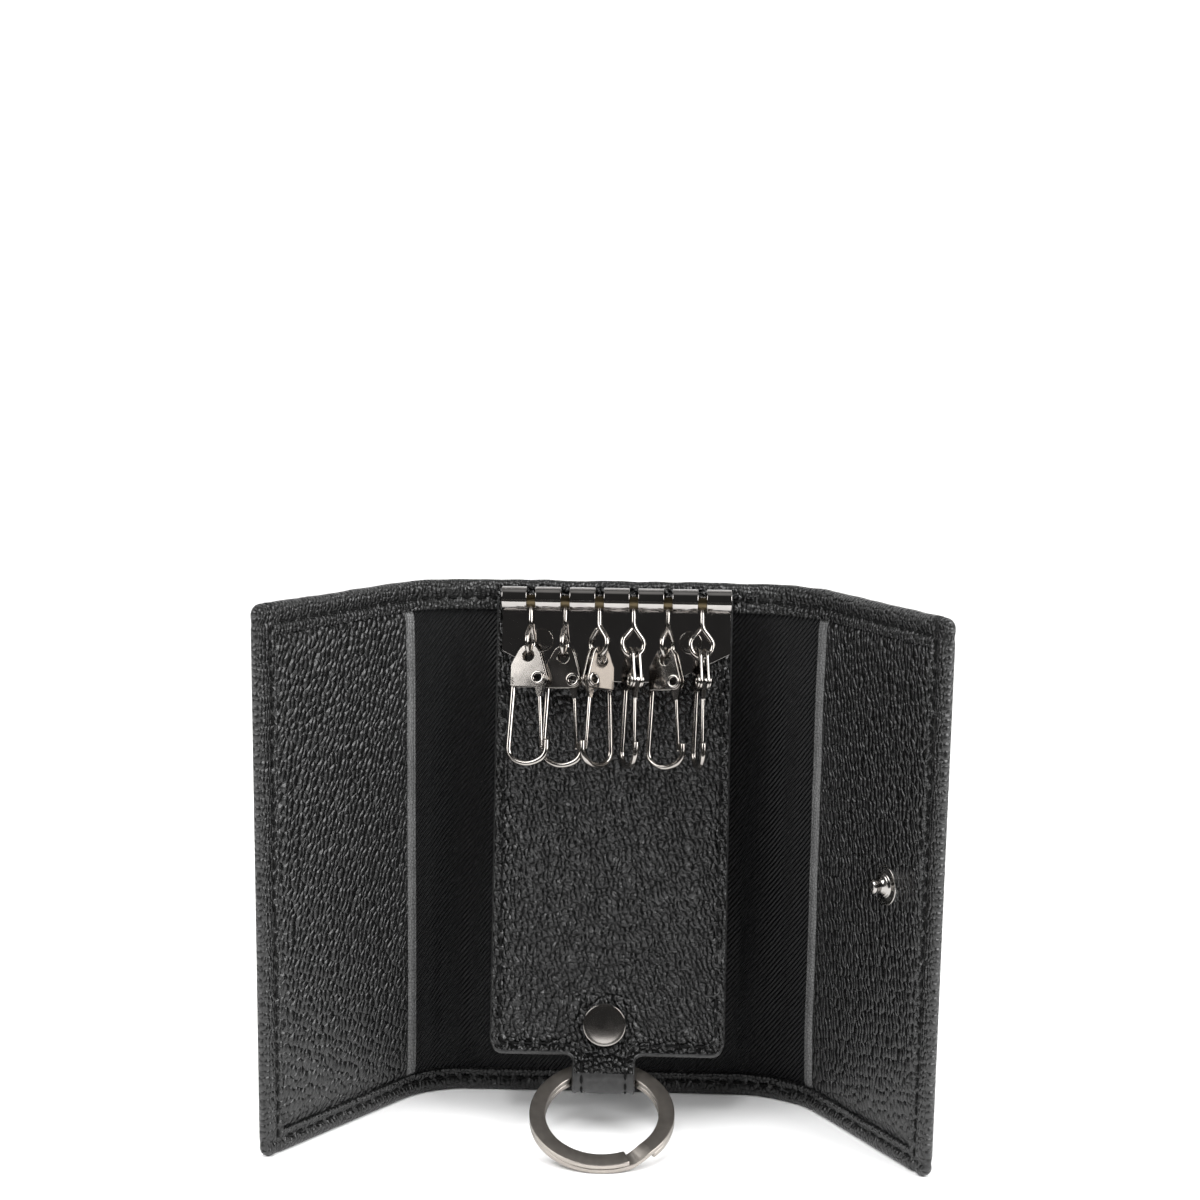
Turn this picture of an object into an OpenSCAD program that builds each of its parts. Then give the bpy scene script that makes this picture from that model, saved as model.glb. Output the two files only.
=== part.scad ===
// Tri-fold leather key holder: case with two folding wings, key tongue, six swivel hooks and a split ring.
// Millimetres. X to the right, Y away from the viewer, Z up. The case stands on its bottom edges.
// The origin is in the middle of the back panel's bottom edge, in the plane of the fold creases.

/* [Case] */
// Height of the case
case_height = 114; // [100:0.5:130]
// Distance between the two fold lines
case_width = 78.8; // [74:0.2:90]
// Width of each wing, measured from its fold line
wing_width = 51.4; // [47:0.2:58]
// Angle the left wing is folded forward
left_fold = 55.4; // [20:0.1:90]
// Angle the right wing is folded forward
right_fold = 60.8; // [20:0.1:90]
// Depth of the left spine strip between its two creases
spine_depth = 8; // [6:0.5:12]
// Extra room the right spine leaves over the folded left wing
overlap_room = 0.6; // [0.2:0.1:2]

/* [Leather] */
// Thickness of the outer leather
leather = 1.2; // [0.8:0.1:2]
// Thickness of the woven lining
lining = 0.8; // [0.4:0.1:1.2]
// Thickness of the leather turned over the edges
turned = 0.7; // [0.4:0.1:1.2]
// Width of the turned border along the top
top_border = 6.2; // [4:0.1:9]
// Width of the turned border along the bottom
bottom_border = 5; // [4:0.1:8]
// Width of the turned border at the outer edge of each wing
side_border = 5; // [4:0.1:8]
// Half of the open width at each crease
crease_gap = 0.3; // [0.3:0.05:0.6]
// Thickness of the pocket leather on each wing
pocket_leather = 0.6; // [0.4:0.1:0.6]
// Width of the hem at the open edge of a pocket
hem_width = 2.2; // [1:0.1:4]
// How far the hem stands proud of the pocket leather
hem_rise = 0.35; // [0.1:0.05:0.6]
// Distance from the crease to the open edge of a pocket
pocket_inset = 0.7; // [0.6:0.1:3]

/* [Snap] */
// Distance of the snap from the right fold line
snap_from_fold = 34; // [30:0.5:38]
// Height of the snap above the bottom edge
snap_height = 57.1; // [30:0.1:80]
// Diameter of the stud flange
stud_flange = 8.4; // [7:0.1:10]
// How far the stud stands out
stud_reach = 3.4; // [2.5:0.1:4.5]
// Diameter of the stud head
stud_head = 3; // [2.6:0.1:4]
// Diameter of the socket
socket_width = 9.6; // [9:0.1:12]
// Height of the socket
socket_rise = 2.3; // [2:0.1:3]
// Diameter of the hidden snap plates
snap_plate = 7.6; // [6.5:0.1:8]

/* [Tongue] */
// Width of the tongue
tongue_width = 49.6; // [44:0.1:56]
// How far the tongue stops short of the bottom edge of the case, measured along it
tongue_gap = 14.4; // [9:0.1:22]
// Angle the tongue hangs forward
tongue_swing = 10.6; // [6:0.1:20]
// Thickness of the front and middle layers of the tongue
tongue_leather = 0.9; // [0.7:0.05:1.2]
// Thickness of the back layer of the tongue
tongue_backing = 0.7; // [0.5:0.05:1]
// Radius of the lower corners of the tongue
tongue_corner = 3; // [1.5:0.1:6]
// Distance from the top of the case to the seam of the tongue
seam_drop = 1; // [0.6:0.1:3]
// Width of the ring strap
strap_width = 13.2; // [10:0.1:16]
// Sideways place of the ring strap
strap_x = -0.6; // [-3:0.1:3]
// Inside radius of the strap loop
strap_bore = 3.2; // [3.1:0.05:4]
// Distance from the bottom of the tongue to the middle of the strap loop
strap_drop = 4.3; // [4.2:0.1:6]
// How far the folded end of the strap reaches up inside the tongue
strap_tail = 12; // [11:0.1:16]
// Diameter of the strap rivet cap
cap_width = 9; // [7:0.1:11]
// Height of the strap rivet cap
cap_rise = 1.5; // [1:0.1:2.2]
// Distance from the bottom of the tongue to the strap rivet
cap_from_bottom = 6.3; // [5.6:0.1:9]

/* [Key bar] */
// Length of the key bar
bar_length = 48; // [46:0.1:50]
// Sideways place of the key bar
bar_x = 0.4; // [-1:0.1:1]
// Outside diameter of the rolled tube
tube_width = 5; // [4.8:0.1:5.6]
// Thickness of the bar's sheet metal
bar_sheet = 0.5; // [0.4:0.05:0.6]
// Distance from the seam of the tongue to the middle of the tube
tube_drop = 2.95; // [2.8:0.05:5]
// Distance between two hooks
hook_pitch = 7.16; // [7:0.02:7.4]
// Width of the slots in the tube
slot_width = 1.8; // [1.5:0.1:2]
// Distance from the seam to the lower ends of the plate's straight sides
plate_side = 13.9; // [12:0.1:16]
// Distance from the seam to the bottom of the plate
plate_drop = 20.1; // [18:0.1:24]
// Width of the plate's straight bottom edge
plate_bottom = 23.2; // [18:0.1:30]
// Distance between the two plate rivets
rivet_spacing = 31.2; // [28:0.1:34]
// Distance from the seam to the plate rivets
rivet_drop = 11.6; // [10:0.1:13]
// Diameter of the domed plate rivets
dome_width = 4.8; // [4:0.1:5]
// Height of the domed plate rivets
dome_rise = 0.9; // [0.5:0.1:1]

/* [Hooks] */
// Turn of each hook about its eye, seen from above
hook_turn = [-14, -12, -134, -69, -30, -77];
// Angle each eye leans forward from the tongue
eye_lean = [10.4, 6.2, 7.6, 8.4, 5.2, 8.4];
// Angle each hook lies back from its eye
hook_lie = [0, 0, 0, 3.4, 0, 3.4];
// Wire diameter of the eyes
eye_wire = 1; // [0.9:0.05:1.1]
// Outside width of the eyes
eye_width = 5.8; // [5.6:0.1:6.4]
// Distance from the middle of the tube to the bottom of an eye
eye_drop = 12.3; // [12:0.1:14]
// Outside height of a hook
hook_height = 25.5; // [24:0.1:28]
// Outside width of the open end of a hook
hook_width = 9.4; // [9:0.1:10]
// Wire diameter of a hook
hook_wire = 1.2; // [1:0.05:1.3]
// Thickness of each of the two cheeks of a hook
cheek = 0.45; // [0.4:0.05:0.6]
// Open gap between the cheeks, filled by the gate
cheek_gap = 1; // [0.9:0.05:1.2]
// Diameter of the hole for the eye
eye_hole = 2.6; // [2.6:0.05:2.8]
// Diameter of the gate rivet's heads
gate_rivet = 2.9; // [2.6:0.1:3.2]

/* [Ring] */
// Outside diameter of the split ring
ring_width = 30; // [28:0.5:34]
// Width of the ring's flat band
ring_band = 3.3; // [3:0.1:3.4]
// Thickness of the two coils together
ring_thick = 2.4; // [2:0.1:2.4]

/* [Hidden] */
$fn = 64;
cut = 2;
fit = 0.02;
run = 0.05;
bead = 0.04;
arc_gap = 2;
shell = leather + lining + turned;
right_depth = spine_depth + shell + overlap_room;
left_leg = spine_depth / 2 / cos(left_fold / 2);
right_leg = right_depth / 2 / cos(right_fold / 2);
left_axis = case_width / 2 - left_leg;
right_axis = case_width / 2 - right_leg;
left_length = wing_width - left_leg;
right_length = wing_width - right_leg;
stud_x = snap_from_fold - right_leg;
socket_x = left_axis + case_width / 2 - snap_from_fold;
tongue_thick = 2 * tongue_leather + tongue_backing;
tongue_length = case_height - seam_drop - tongue_gap;
seam_y = -crease_gap;
seam_z = case_height - seam_drop;
pin = 1;
cap_pin = 1.2;
head_rise = 0.4;
cap_z = cap_from_bottom - tongue_length;
// strap loop
loop_out = strap_bore + tongue_leather;
loop_y = tongue_leather - tongue_thick - 0.5 * tongue_leather;
loop_z = -tongue_length - strap_drop;
neck_rise = 1;
// key bar
tube_y = -tongue_thick - tube_width / 2;
tube_z = -tube_drop;
tube_in = tube_width / 2 - bar_sheet;
drum = tube_in - run;
drum_length = 1.9 * slot_width;
drum_flat = 0.3;
eye_r = (eye_width - eye_wire) / 2;
eye_mid = eye_drop - eye_width / 2;
eye_pin = eye_drop - eye_wire / 2;
neck_z = eye_mid - 1.58 * eye_r;
neck_turn = acos(eye_r / (eye_mid - neck_z));
post_head = 0.85;
// hooks, drawn from the point where they hang in the eye
half_stack = cheek_gap / 2 + cheek;
crown = eye_hole / 2 - 1.5 * run;
hole_z = eye_wire / 2 + run + sag(half_stack) - eye_hole / 2;
crown_z = hole_z + eye_hole / 2 + 1.1;
crown_r = crown_z - hole_z;
foot_z = crown_z - hook_height + hook_wire / 2;
cheek_z = crown_z - 0.345 * hook_height;
leg_x = (hook_width - hook_wire) / 2;
pivot_x = 0.235 * hook_width;
pivot_z = hole_z - 0.505 * hook_width;
pivot_r = 0.17 * hook_width;
heel_r = 0.4;
heel_x = heel_r - 0.4 * hook_width;
shoulder_z = crown_z - 0.17 * hook_height;
bow_r = 0.56 * hook_width;
turn_r = 0.3 * hook_width;
bow_turn = asin((leg_x - turn_r) / (bow_r - turn_r));
bend_z = foot_z + bow_r - (bow_r - turn_r) * cos(bow_turn);
nose = 0.14 * hook_width;
gate_wire = 0.7 * hook_wire;
gate_x = leg_x - hook_wire / 2 - gate_wire / 2 - run;
gate_z = bend_z + 0.04 * hook_width;
gate_lug = cheek_gap - 2 * run;
rivet_shaft = 0.93;
rivet_head = 0.5;
// split ring
ring_r = ring_width / 2;
coil_gap = 0.08;
ring_seat = ring_r - 2.8;
ring_reach = ring_r + ring_seat;
loop_y_world = seam_y + loop_y * cos(tongue_swing) + loop_z * sin(tongue_swing);
loop_z_world = seam_z - loop_y * sin(tongue_swing) + loop_z * cos(tongue_swing);
ring_slope = asin(loop_z_world / norm([ring_reach, ring_thick / 2])) - atan2(ring_thick / 2, ring_reach);

leather_grey = [0.1, 0.1, 0.11];
lining_black = [0.03, 0.03, 0.035];
gunmetal = [0.32, 0.31, 0.3];
brass = [0.62, 0.5, 0.28];

// How much a wire of the eye rises at a distance from its lowest point
function sag(x) = eye_r - sqrt(eye_r * eye_r - x * x);

// Point where a line from p touches a circle, on the side given by s
function touch(p, c, r, s) =
    let (d = norm(p - c), a = atan2(p[1] - c[1], p[0] - c[0]) + s * acos(r / d))
    c + r * [cos(a), sin(a)];

// Point just before b on the way from a, so that two wires meet inside a bead
function stop_short(a, b) = b - 2 * bead * (b - a) / norm(b - a);

// Frames
module left_side() {
    mirror([1, 0, 0]) children();
}

module spine_frame(axis_x, fold) {
    translate([axis_x, 0, 0]) rotate([0, 0, -fold / 2]) children();
}

module wing_frame(axis_x, fold, depth) {
    spine_frame(axis_x, fold) translate([depth, 0, 0]) rotate([0, 0, -fold / 2]) children();
}

module left_wing_frame() {
    left_side() wing_frame(left_axis, left_fold, spine_depth) children();
}

module right_wing_frame() {
    wing_frame(right_axis, right_fold, right_depth) children();
}

module tongue_frame() {
    translate([0, seam_y, seam_z]) rotate([-tongue_swing, 0, 0]) children();
}

module swivel_frame(i) {
    tongue_frame() translate([bar_x + (i - 3.5) * hook_pitch, tube_y, tube_z])
        rotate([-eye_lean[i - 1], 0, 0]) children();
}

module eye_frame(i) {
    swivel_frame(i) rotate([0, 0, hook_turn[i - 1] + 90]) children();
}

module hook_frame(i) {
    eye_frame(i) translate([0, 0, -eye_pin]) rotate([hook_lie[i - 1], 0, 0])
        rotate([0, 0, -90]) children();
}

// Small helpers
module facing(y, thick) {
    translate([0, y, 0]) rotate([90, 0, 0]) linear_extrude(thick) children();
}

module along_x(from, length) {
    translate([from, 0, 0]) rotate([90, 0, 90]) linear_extrude(length) children();
}

module through_y(x, y, z, r, length) {
    translate([x, y, z]) rotate([-90, 0, 0]) cylinder(r = r, h = length);
}

module rod(a, b, r, tip) {
    d = b - a;
    translate(a) rotate([0, acos(d[2] / norm(d)), atan2(d[1], d[0])])
        cylinder(r1 = r, r2 = tip, h = norm(d));
}

module dome(width, rise) {
    big = (width * width / 4 + rise * rise) / 2 / rise;
    rotate([90, 0, 0]) intersection() {
        translate([0, 0, rise - big]) sphere(r = big, $fn = 160);
        cylinder(d = width, h = rise, $fn = 160);
    }
}

module capsule(a, ra, b, rb) {
    d = norm(b - a);
    t = atan2(b[1] - a[1], b[0] - a[0]);
    s = acos((ra - rb) / d);
    translate(a) circle(r = ra);
    translate(b) circle(r = rb);
    polygon([
        a + ra * [cos(t + s), sin(t + s)], a + ra * [cos(t - s), sin(t - s)],
        b + rb * [cos(t - s), sin(t - s)], b + rb * [cos(t + s), sin(t + s)]]);
}

// Outer leather with its turned borders: slot for the lining, window between the borders
module turned_leather(from, to, edge) {
    slot = edge ? leather : -cut;
    window = edge ? side_border : -cut;
    difference() {
        translate([from, 0, 0]) cube([to - from, shell, case_height]);
        translate([from - cut, turned, leather])
            cube([to - slot - from + cut, lining, case_height - 2 * leather]);
        translate([from - cut, -cut, bottom_border])
            cube([to - window - from + cut, cut + turned + lining / 2,
                case_height - top_border - bottom_border]);
    }
}

module lining_sheet(from, to) {
    translate([from, turned, leather]) cube([to - from, lining, case_height - 2 * leather]);
}

// Case
module back_shell() {
    color(leather_grey) turned_leather(crease_gap - left_axis, right_axis - crease_gap, false);
}

module back_lining() {
    color(lining_black) lining_sheet(crease_gap - left_axis, right_axis - crease_gap);
}

module left_spine_shell() {
    color(leather_grey) left_side() spine_frame(left_axis, left_fold)
        turned_leather(crease_gap, spine_depth - crease_gap, false);
}

module left_spine_lining() {
    color(lining_black) left_side() spine_frame(left_axis, left_fold)
        lining_sheet(crease_gap, spine_depth - crease_gap);
}

module right_spine_shell() {
    color(leather_grey) spine_frame(right_axis, right_fold)
        turned_leather(crease_gap, right_depth - crease_gap, false);
}

module right_spine_lining() {
    color(lining_black) spine_frame(right_axis, right_fold)
        lining_sheet(crease_gap, right_depth - crease_gap);
}

module left_wing_shell() {
    color(leather_grey) left_wing_frame() difference() {
        turned_leather(crease_gap, left_length, true);
        through_y(socket_x, turned + lining, snap_height, stud_head * 0.78, leather + cut);
    }
}

module right_wing_shell() {
    color(leather_grey) right_wing_frame() turned_leather(crease_gap, right_length, true);
}

module wing_lining(length, hole_x) {
    color(lining_black) difference() {
        lining_sheet(crease_gap, length - leather);
        through_y(hole_x, 0, snap_height, snap_plate / 2 + run, shell);
    }
}

module left_wing_lining() {
    left_wing_frame() wing_lining(left_length, socket_x);
}

module right_wing_lining() {
    right_wing_frame() wing_lining(right_length, stud_x);
}

module pocket(length) {
    tall = case_height - top_border - bottom_border;
    color(leather_grey) {
        translate([pocket_inset, turned - pocket_leather, bottom_border])
            cube([length - side_border - pocket_inset, pocket_leather, tall]);
        translate([pocket_inset, turned - pocket_leather - hem_rise, bottom_border])
            cube([hem_width, hem_rise, tall]);
    }
}

module left_pocket() {
    left_wing_frame() pocket(left_length);
}

module right_pocket() {
    right_wing_frame() difference() {
        pocket(right_length);
        color(leather_grey) through_y(stud_x, -cut, snap_height, pin + run, 2 * cut);
    }
}

// Snap: the stud on the right wing's inner face, the socket on the left wing's outer face
module snap_stud() {
    f = stud_flange / 2;
    h = stud_head / 2;
    color(gunmetal) right_wing_frame()
        translate([stud_x, turned - pocket_leather, snap_height]) rotate([90, 0, 0])
            rotate_extrude() polygon([
                [pin + fit, 0], [f, 0], [f, 0.09 * stud_reach], [0.8 * f, 0.22 * stud_reach],
                [0.45 * f, 0.28 * stud_reach], [pin + 0.3 * (h - pin), 0.42 * stud_reach],
                [pin + 0.3 * (h - pin), 0.62 * stud_reach], [h, 0.74 * stud_reach],
                [h, 0.88 * stud_reach], [0.7 * h, stud_reach], [0, stud_reach],
                [0, 0.8 * stud_reach], [pin + fit, 0.8 * stud_reach]]);
}

module snap_stud_post() {
    color(gunmetal) right_wing_frame() {
        through_y(stud_x, turned, snap_height, snap_plate / 2, head_rise);
        through_y(stud_x, turned - pocket_leather - 0.78 * stud_reach, snap_height, pin,
            pocket_leather + 0.78 * stud_reach + head_rise / 2);
    }
}

module snap_socket() {
    w = socket_width / 2;
    in = stud_head / 2 + 2 * run;
    out = 0.77 * stud_head;
    color(gunmetal) left_wing_frame() translate([socket_x, shell, snap_height])
        rotate([-90, 0, 0]) rotate_extrude() polygon([
            [out, 0], [w, 0], [w, 0.18 * socket_rise], [0.8 * w, 0.7 * socket_rise],
            [0.7 * w, 0.92 * socket_rise], [0.55 * w, socket_rise], [in, 0.85 * socket_rise],
            [in, 0.45 * socket_rise], [out, 0.45 * socket_rise]]);
}

module snap_socket_post() {
    out = 0.77 * stud_head - fit;
    color(gunmetal) left_wing_frame() difference() {
        union() {
            through_y(socket_x, shell - leather - head_rise, snap_height, snap_plate / 2, head_rise);
            through_y(socket_x, shell - leather - head_rise / 2, snap_height, out,
                leather + head_rise / 2 + 0.44 * socket_rise);
        }
        through_y(socket_x, shell - leather, snap_height, stud_head / 2 + 2 * run, leather + cut);
    }
}

// Tongue
module tongue_outline() {
    w = tongue_width / 2;
    r = tongue_corner;
    translate([-w, r - tongue_length]) square([2 * w, tongue_length - r]);
    translate([r - w, -tongue_length]) square([2 * w - 2 * r, tongue_length]);
    for (s = [-1, 1]) translate([s * (w - r), r - tongue_length]) circle(r = r);
}

module tongue_holes() {
    for (s = [-1, 1]) translate([bar_x + s * rivet_spacing / 2, -rivet_drop]) circle(r = pin + fit);
    translate([strap_x, cap_z]) circle(r = cap_pin + fit);
}

module strap_loop() {
    c = [loop_y, loop_z];
    front = [-tongue_thick, neck_rise - tongue_length];
    rear = [-tongue_backing, -tongue_length];
    mid = [-tongue_backing - tongue_leather, -tongue_length];
    difference() {
        union() {
            translate(c) circle(r = loop_out);
            polygon([front, touch(front, c, loop_out, 1), c, touch(rear, c, loop_out, -1), rear]);
            translate([-tongue_backing - tongue_leather, -tongue_length])
                square([tongue_leather, strap_tail]);
        }
        translate(c) circle(r = strap_bore);
        polygon([mid, touch(mid, c, strap_bore, 1), c, touch(mid, c, strap_bore, -1)]);
    }
}

module tongue_front() {
    color(leather_grey) tongue_frame() difference() {
        union() {
            facing(tongue_leather - tongue_thick, tongue_leather) tongue_outline();
            along_x(strap_x - strap_width / 2, strap_width) strap_loop();
        }
        facing(cut, 2 * cut + tongue_thick) tongue_holes();
    }
}

module tongue_core() {
    color(leather_grey) tongue_frame()
        facing(-tongue_backing, tongue_leather) difference() {
            tongue_outline();
            tongue_holes();
            translate([strap_x - strap_width / 2 - run, -tongue_length - cut])
                square([strap_width + 2 * run, strap_tail + run + cut]);
        }
}

module tongue_back() {
    color(leather_grey) tongue_frame() facing(0, tongue_backing) difference() {
        tongue_outline();
        tongue_holes();
    }
}

module strap_rivet_cap() {
    color(gunmetal) tongue_frame() translate([strap_x, -tongue_thick, cap_z])
        dome(cap_width, cap_rise);
}

module strap_rivet_post() {
    color(gunmetal) tongue_frame() {
        through_y(strap_x, -tongue_thick, cap_z, cap_pin, tongue_thick + head_rise / 2);
        translate([strap_x, 0, cap_z]) rotate([180, 0, 0]) dome(0.85 * cap_width, 2 * head_rise);
    }
}

// Key bar: a plate rolled into a slotted tube along its top
module key_plate() {
    w = bar_length / 2;
    color(gunmetal) tongue_frame() difference() {
        union() {
            translate([bar_x, 0, 0]) facing(-tongue_thick, bar_sheet) polygon([
                [-w, tube_z], [w, tube_z], [w, -plate_side], [plate_bottom / 2, -plate_drop],
                [-plate_bottom / 2, -plate_drop], [-w, -plate_side]]);
            along_x(bar_x - w, bar_length) translate([tube_y, tube_z]) circle(d = tube_width);
        }
        along_x(bar_x - w - cut, bar_length + 2 * cut) translate([tube_y, tube_z])
            circle(r = tube_in);
        for (i = [1:6]) translate([bar_x + (i - 3.5) * hook_pitch - slot_width / 2, 0, 0]) {
            translate([0, tube_y - tube_width, tube_z]) cube([slot_width, 2 * tube_width, tube_width]);
            translate([0, tube_y - tube_width, tube_z - 0.62 * tube_width])
                cube([slot_width, 1.5 * tube_width - bar_sheet - run, 0.7 * tube_width]);
        }
        facing(cut - tongue_thick, 2 * cut) tongue_holes();
    }
}

module plate_rivets() {
    color(gunmetal) tongue_frame() for (s = [-1, 1])
        translate([bar_x + s * rivet_spacing / 2, -tongue_thick - bar_sheet, -rivet_drop])
            dome(dome_width, dome_rise);
}

module plate_rivet_backs() {
    color(gunmetal) tongue_frame() for (s = [-1, 1]) {
        through_y(bar_x + s * rivet_spacing / 2, -tongue_thick - bar_sheet, -rivet_drop, pin,
            tongue_thick + bar_sheet + head_rise / 2);
        through_y(bar_x + s * rivet_spacing / 2, 0, -rivet_drop, dome_width / 2, head_rise);
    }
}

// Hooks
module swivel(i) {
    color(brass) swivel_frame(i) difference() {
        translate([-drum_length / 2, 0, 0]) rotate([0, 90, 0]) cylinder(r = drum, h = drum_length);
        translate([-drum_length, -tube_width, drum_flat])
            cube([2 * drum_length, 2 * tube_width, tube_width]);
        translate([0, 0, -tube_width]) cylinder(r = eye_wire / 2 + run, h = 2 * tube_width);
    }
}

module eye(i) {
    r = eye_wire / 2;
    ball = r + bead;
    p = [0, 0, -neck_z];
    c = [0, 0, -eye_mid];
    right = c + eye_r * [sin(neck_turn), 0, cos(neck_turn)];
    left = c + eye_r * [-sin(neck_turn), 0, cos(neck_turn)];
    end = left + 0.52 * (p - left);
    color(gunmetal) eye_frame(i) {
        translate([0, 0, drum_flat + run]) cylinder(r = post_head, h = eye_wire / 2);
        translate(p) cylinder(r = r, h = neck_z + drum_flat + 2 * run);
        translate(p) sphere(r = ball);
        rod(p, stop_short(p, right), r, r);
        translate(right) sphere(r = ball);
        translate(c) rotate([90, 0, 0]) rotate([0, 0, 90 + neck_turn + arc_gap])
            rotate_extrude(angle = 360 - 2 * neck_turn - 2 * arc_gap)
                translate([eye_r, 0]) circle(r = r);
        translate(left) sphere(r = ball);
        rod(stop_short(end, left), end, r, r);
    }
}

module cheek_outline() {
    top = [0, hole_z];
    heel = [heel_x, cheek_z + heel_r];
    side = [heel_x, shoulder_z];
    pivot = [pivot_x, pivot_z];
    difference() {
        union() {
            capsule(top, crown_r, side, heel_r);
            capsule(side, heel_r, heel, heel_r);
            capsule(top, crown_r, pivot, pivot_r);
            capsule(heel, heel_r, [pivot_x, cheek_z + pivot_r], pivot_r);
            polygon([top, side, heel, pivot]);
        }
        translate(top) circle(d = eye_hole);
        translate(pivot) circle(r = rivet_shaft + fit);
    }
}

module bent_wire(c, r, from, turn) {
    translate([c[0], 0, c[1]]) rotate([90, 0, 0]) rotate([0, 0, from + arc_gap])
        rotate_extrude(angle = turn - 2 * arc_gap) translate([r, 0]) circle(d = hook_wire);
}

module hook(i) {
    r = hook_wire / 2;
    c = [0, foot_z + bow_r];
    color(gunmetal) hook_frame(i) {
        facing(-cheek_gap / 2, cheek) cheek_outline();
        facing(half_stack, cheek) cheek_outline();
        translate([heel_x - heel_r, -half_stack, cheek_z])
            cube([2 * heel_r, 2 * half_stack, pivot_z - cheek_z + heel_r]);
        rod([heel_x, 0, cheek_z + r], stop_short([heel_x, 0, cheek_z], [-leg_x, 0, bend_z]), r, r);
        for (x = [-leg_x, leg_x]) translate([x, 0, bend_z]) sphere(r = r + bead);
        for (s = [-1, 1]) translate([
            c[0] + s * bow_r * sin(bow_turn), 0, c[1] - bow_r * cos(bow_turn)]) sphere(r = r + bead);
        bent_wire([turn_r - leg_x, bend_z], turn_r, 180, 90 - bow_turn);
        bent_wire(c, bow_r, 270 - bow_turn, 2 * bow_turn);
        bent_wire([leg_x - turn_r, bend_z], turn_r, 270 + bow_turn, 90 - bow_turn);
        translate([leg_x, 0, bend_z + 2 * bead]) cylinder(r = r, h = nose);
    }
}

module hook_rivet(i) {
    color(gunmetal) hook_frame(i) difference() {
        union() {
            through_y(pivot_x, -half_stack, pivot_z, rivet_shaft, 2 * half_stack);
            through_y(pivot_x, half_stack, pivot_z, gate_rivet / 2, rivet_head);
            through_y(pivot_x, -half_stack - rivet_head, pivot_z, gate_rivet / 2, rivet_head);
        }
        through_y(pivot_x, -tube_width, pivot_z, 0.55 * gate_rivet / 2, 2 * tube_width);
    }
}

module gate(i) {
    w = gate_wire / 2;
    tip = [gate_x, 0, gate_z];
    neck = [pivot_x + 0.25 * w, 0, pivot_z - 2.2 * pivot_r];
    color(gunmetal) hook_frame(i) difference() {
        union() {
            facing(gate_lug / 2, gate_lug) {
                translate([pivot_x, pivot_z]) circle(r = 0.85 * pivot_r);
                polygon([
                    [pivot_x - 0.8 * pivot_r, pivot_z], [pivot_x + 0.85 * pivot_r, pivot_z],
                    [neck[0] + 1.2 * w, neck[2]], [neck[0] - 1.2 * w, neck[2]]]);
            }
            rod(neck + w * [0, 0, 1], tip, w, 0.9 * w);
        }
        through_y(pivot_x, -cheek_gap, pivot_z, rivet_shaft + run, 2 * cheek_gap);
    }
}

// Split ring: two coils joined by the short ramp at the split
module sector(low, high, from, to) {
    rotate([0, 0, from]) rotate_extrude(angle = to - from)
        translate([ring_r - ring_band - cut, low]) square([ring_band + 2 * cut, high - low]);
}

module split_ring() {
    half = ring_thick / 2;
    ramp = 0.24 * ring_thick;
    over = half + cut;
    upper_end = -65;
    lower_end = -44;
    nick = 2;
    color(gunmetal) translate([strap_x, loop_y_world, loop_z_world]) rotate([ring_slope, 0, 0])
        translate([0, -ring_seat, 0]) difference() {
            rotate_extrude() translate([ring_r - ring_band, -half]) square([ring_band, ring_thick]);
            sector(-coil_gap / 2, coil_gap / 2, lower_end - nick / 2, upper_end + 360 + nick / 2);
            sector(ramp, over, upper_end, lower_end - nick);
            sector(0, over, upper_end - nick, upper_end + nick);
            sector(-over, -ramp, upper_end + nick, lower_end);
            sector(-over, 0, lower_end - nick, lower_end + nick);
        }
}

back_shell();
back_lining();
left_spine_shell();
left_spine_lining();
left_wing_shell();
left_wing_lining();
left_pocket();
snap_socket();
snap_socket_post();
right_spine_shell();
right_spine_lining();
right_wing_shell();
right_wing_lining();
right_pocket();
snap_stud();
snap_stud_post();
tongue_front();
tongue_core();
tongue_back();
key_plate();
plate_rivets();
plate_rivet_backs();
strap_rivet_cap();
strap_rivet_post();
split_ring();
for (i = [1:6]) {
    swivel(i);
    eye(i);
    hook(i);
    hook_rivet(i);
    gate(i);
}
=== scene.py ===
from math import acos, asin, atan2, cos, hypot, pi, radians, sin, sqrt, tan

import bmesh
import bpy
import numpy as np
from mathutils import Matrix, Vector, noise
from mathutils.geometry import delaunay_2d_cdt


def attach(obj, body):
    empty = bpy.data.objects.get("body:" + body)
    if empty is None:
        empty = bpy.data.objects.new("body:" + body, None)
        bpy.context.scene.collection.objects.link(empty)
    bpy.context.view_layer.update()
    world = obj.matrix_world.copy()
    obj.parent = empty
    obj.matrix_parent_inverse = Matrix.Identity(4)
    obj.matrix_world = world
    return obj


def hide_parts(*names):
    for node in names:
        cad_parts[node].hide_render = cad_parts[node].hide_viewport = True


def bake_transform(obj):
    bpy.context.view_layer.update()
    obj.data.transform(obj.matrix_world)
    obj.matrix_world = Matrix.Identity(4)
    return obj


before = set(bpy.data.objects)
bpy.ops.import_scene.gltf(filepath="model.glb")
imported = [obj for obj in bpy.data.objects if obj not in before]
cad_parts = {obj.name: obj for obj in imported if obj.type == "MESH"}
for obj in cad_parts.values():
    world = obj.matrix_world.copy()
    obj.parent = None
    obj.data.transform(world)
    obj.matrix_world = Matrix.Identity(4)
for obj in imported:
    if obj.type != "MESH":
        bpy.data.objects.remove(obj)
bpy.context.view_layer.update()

# Sizes in millimetres, the same as the CAD model's
MM = 0.001
HEIGHT = 114.0
CASE_WIDTH, WING_WIDTH = 78.8, 51.4
SHELL, TURNED, CLOTH = 2.7, 0.7, 0.25
TOP_BORDER, BOTTOM_BORDER, SIDE_BORDER = 6.2, 5.0, 5.0
LEFT, BACK, RIGHT = -1, 0, 1
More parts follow.
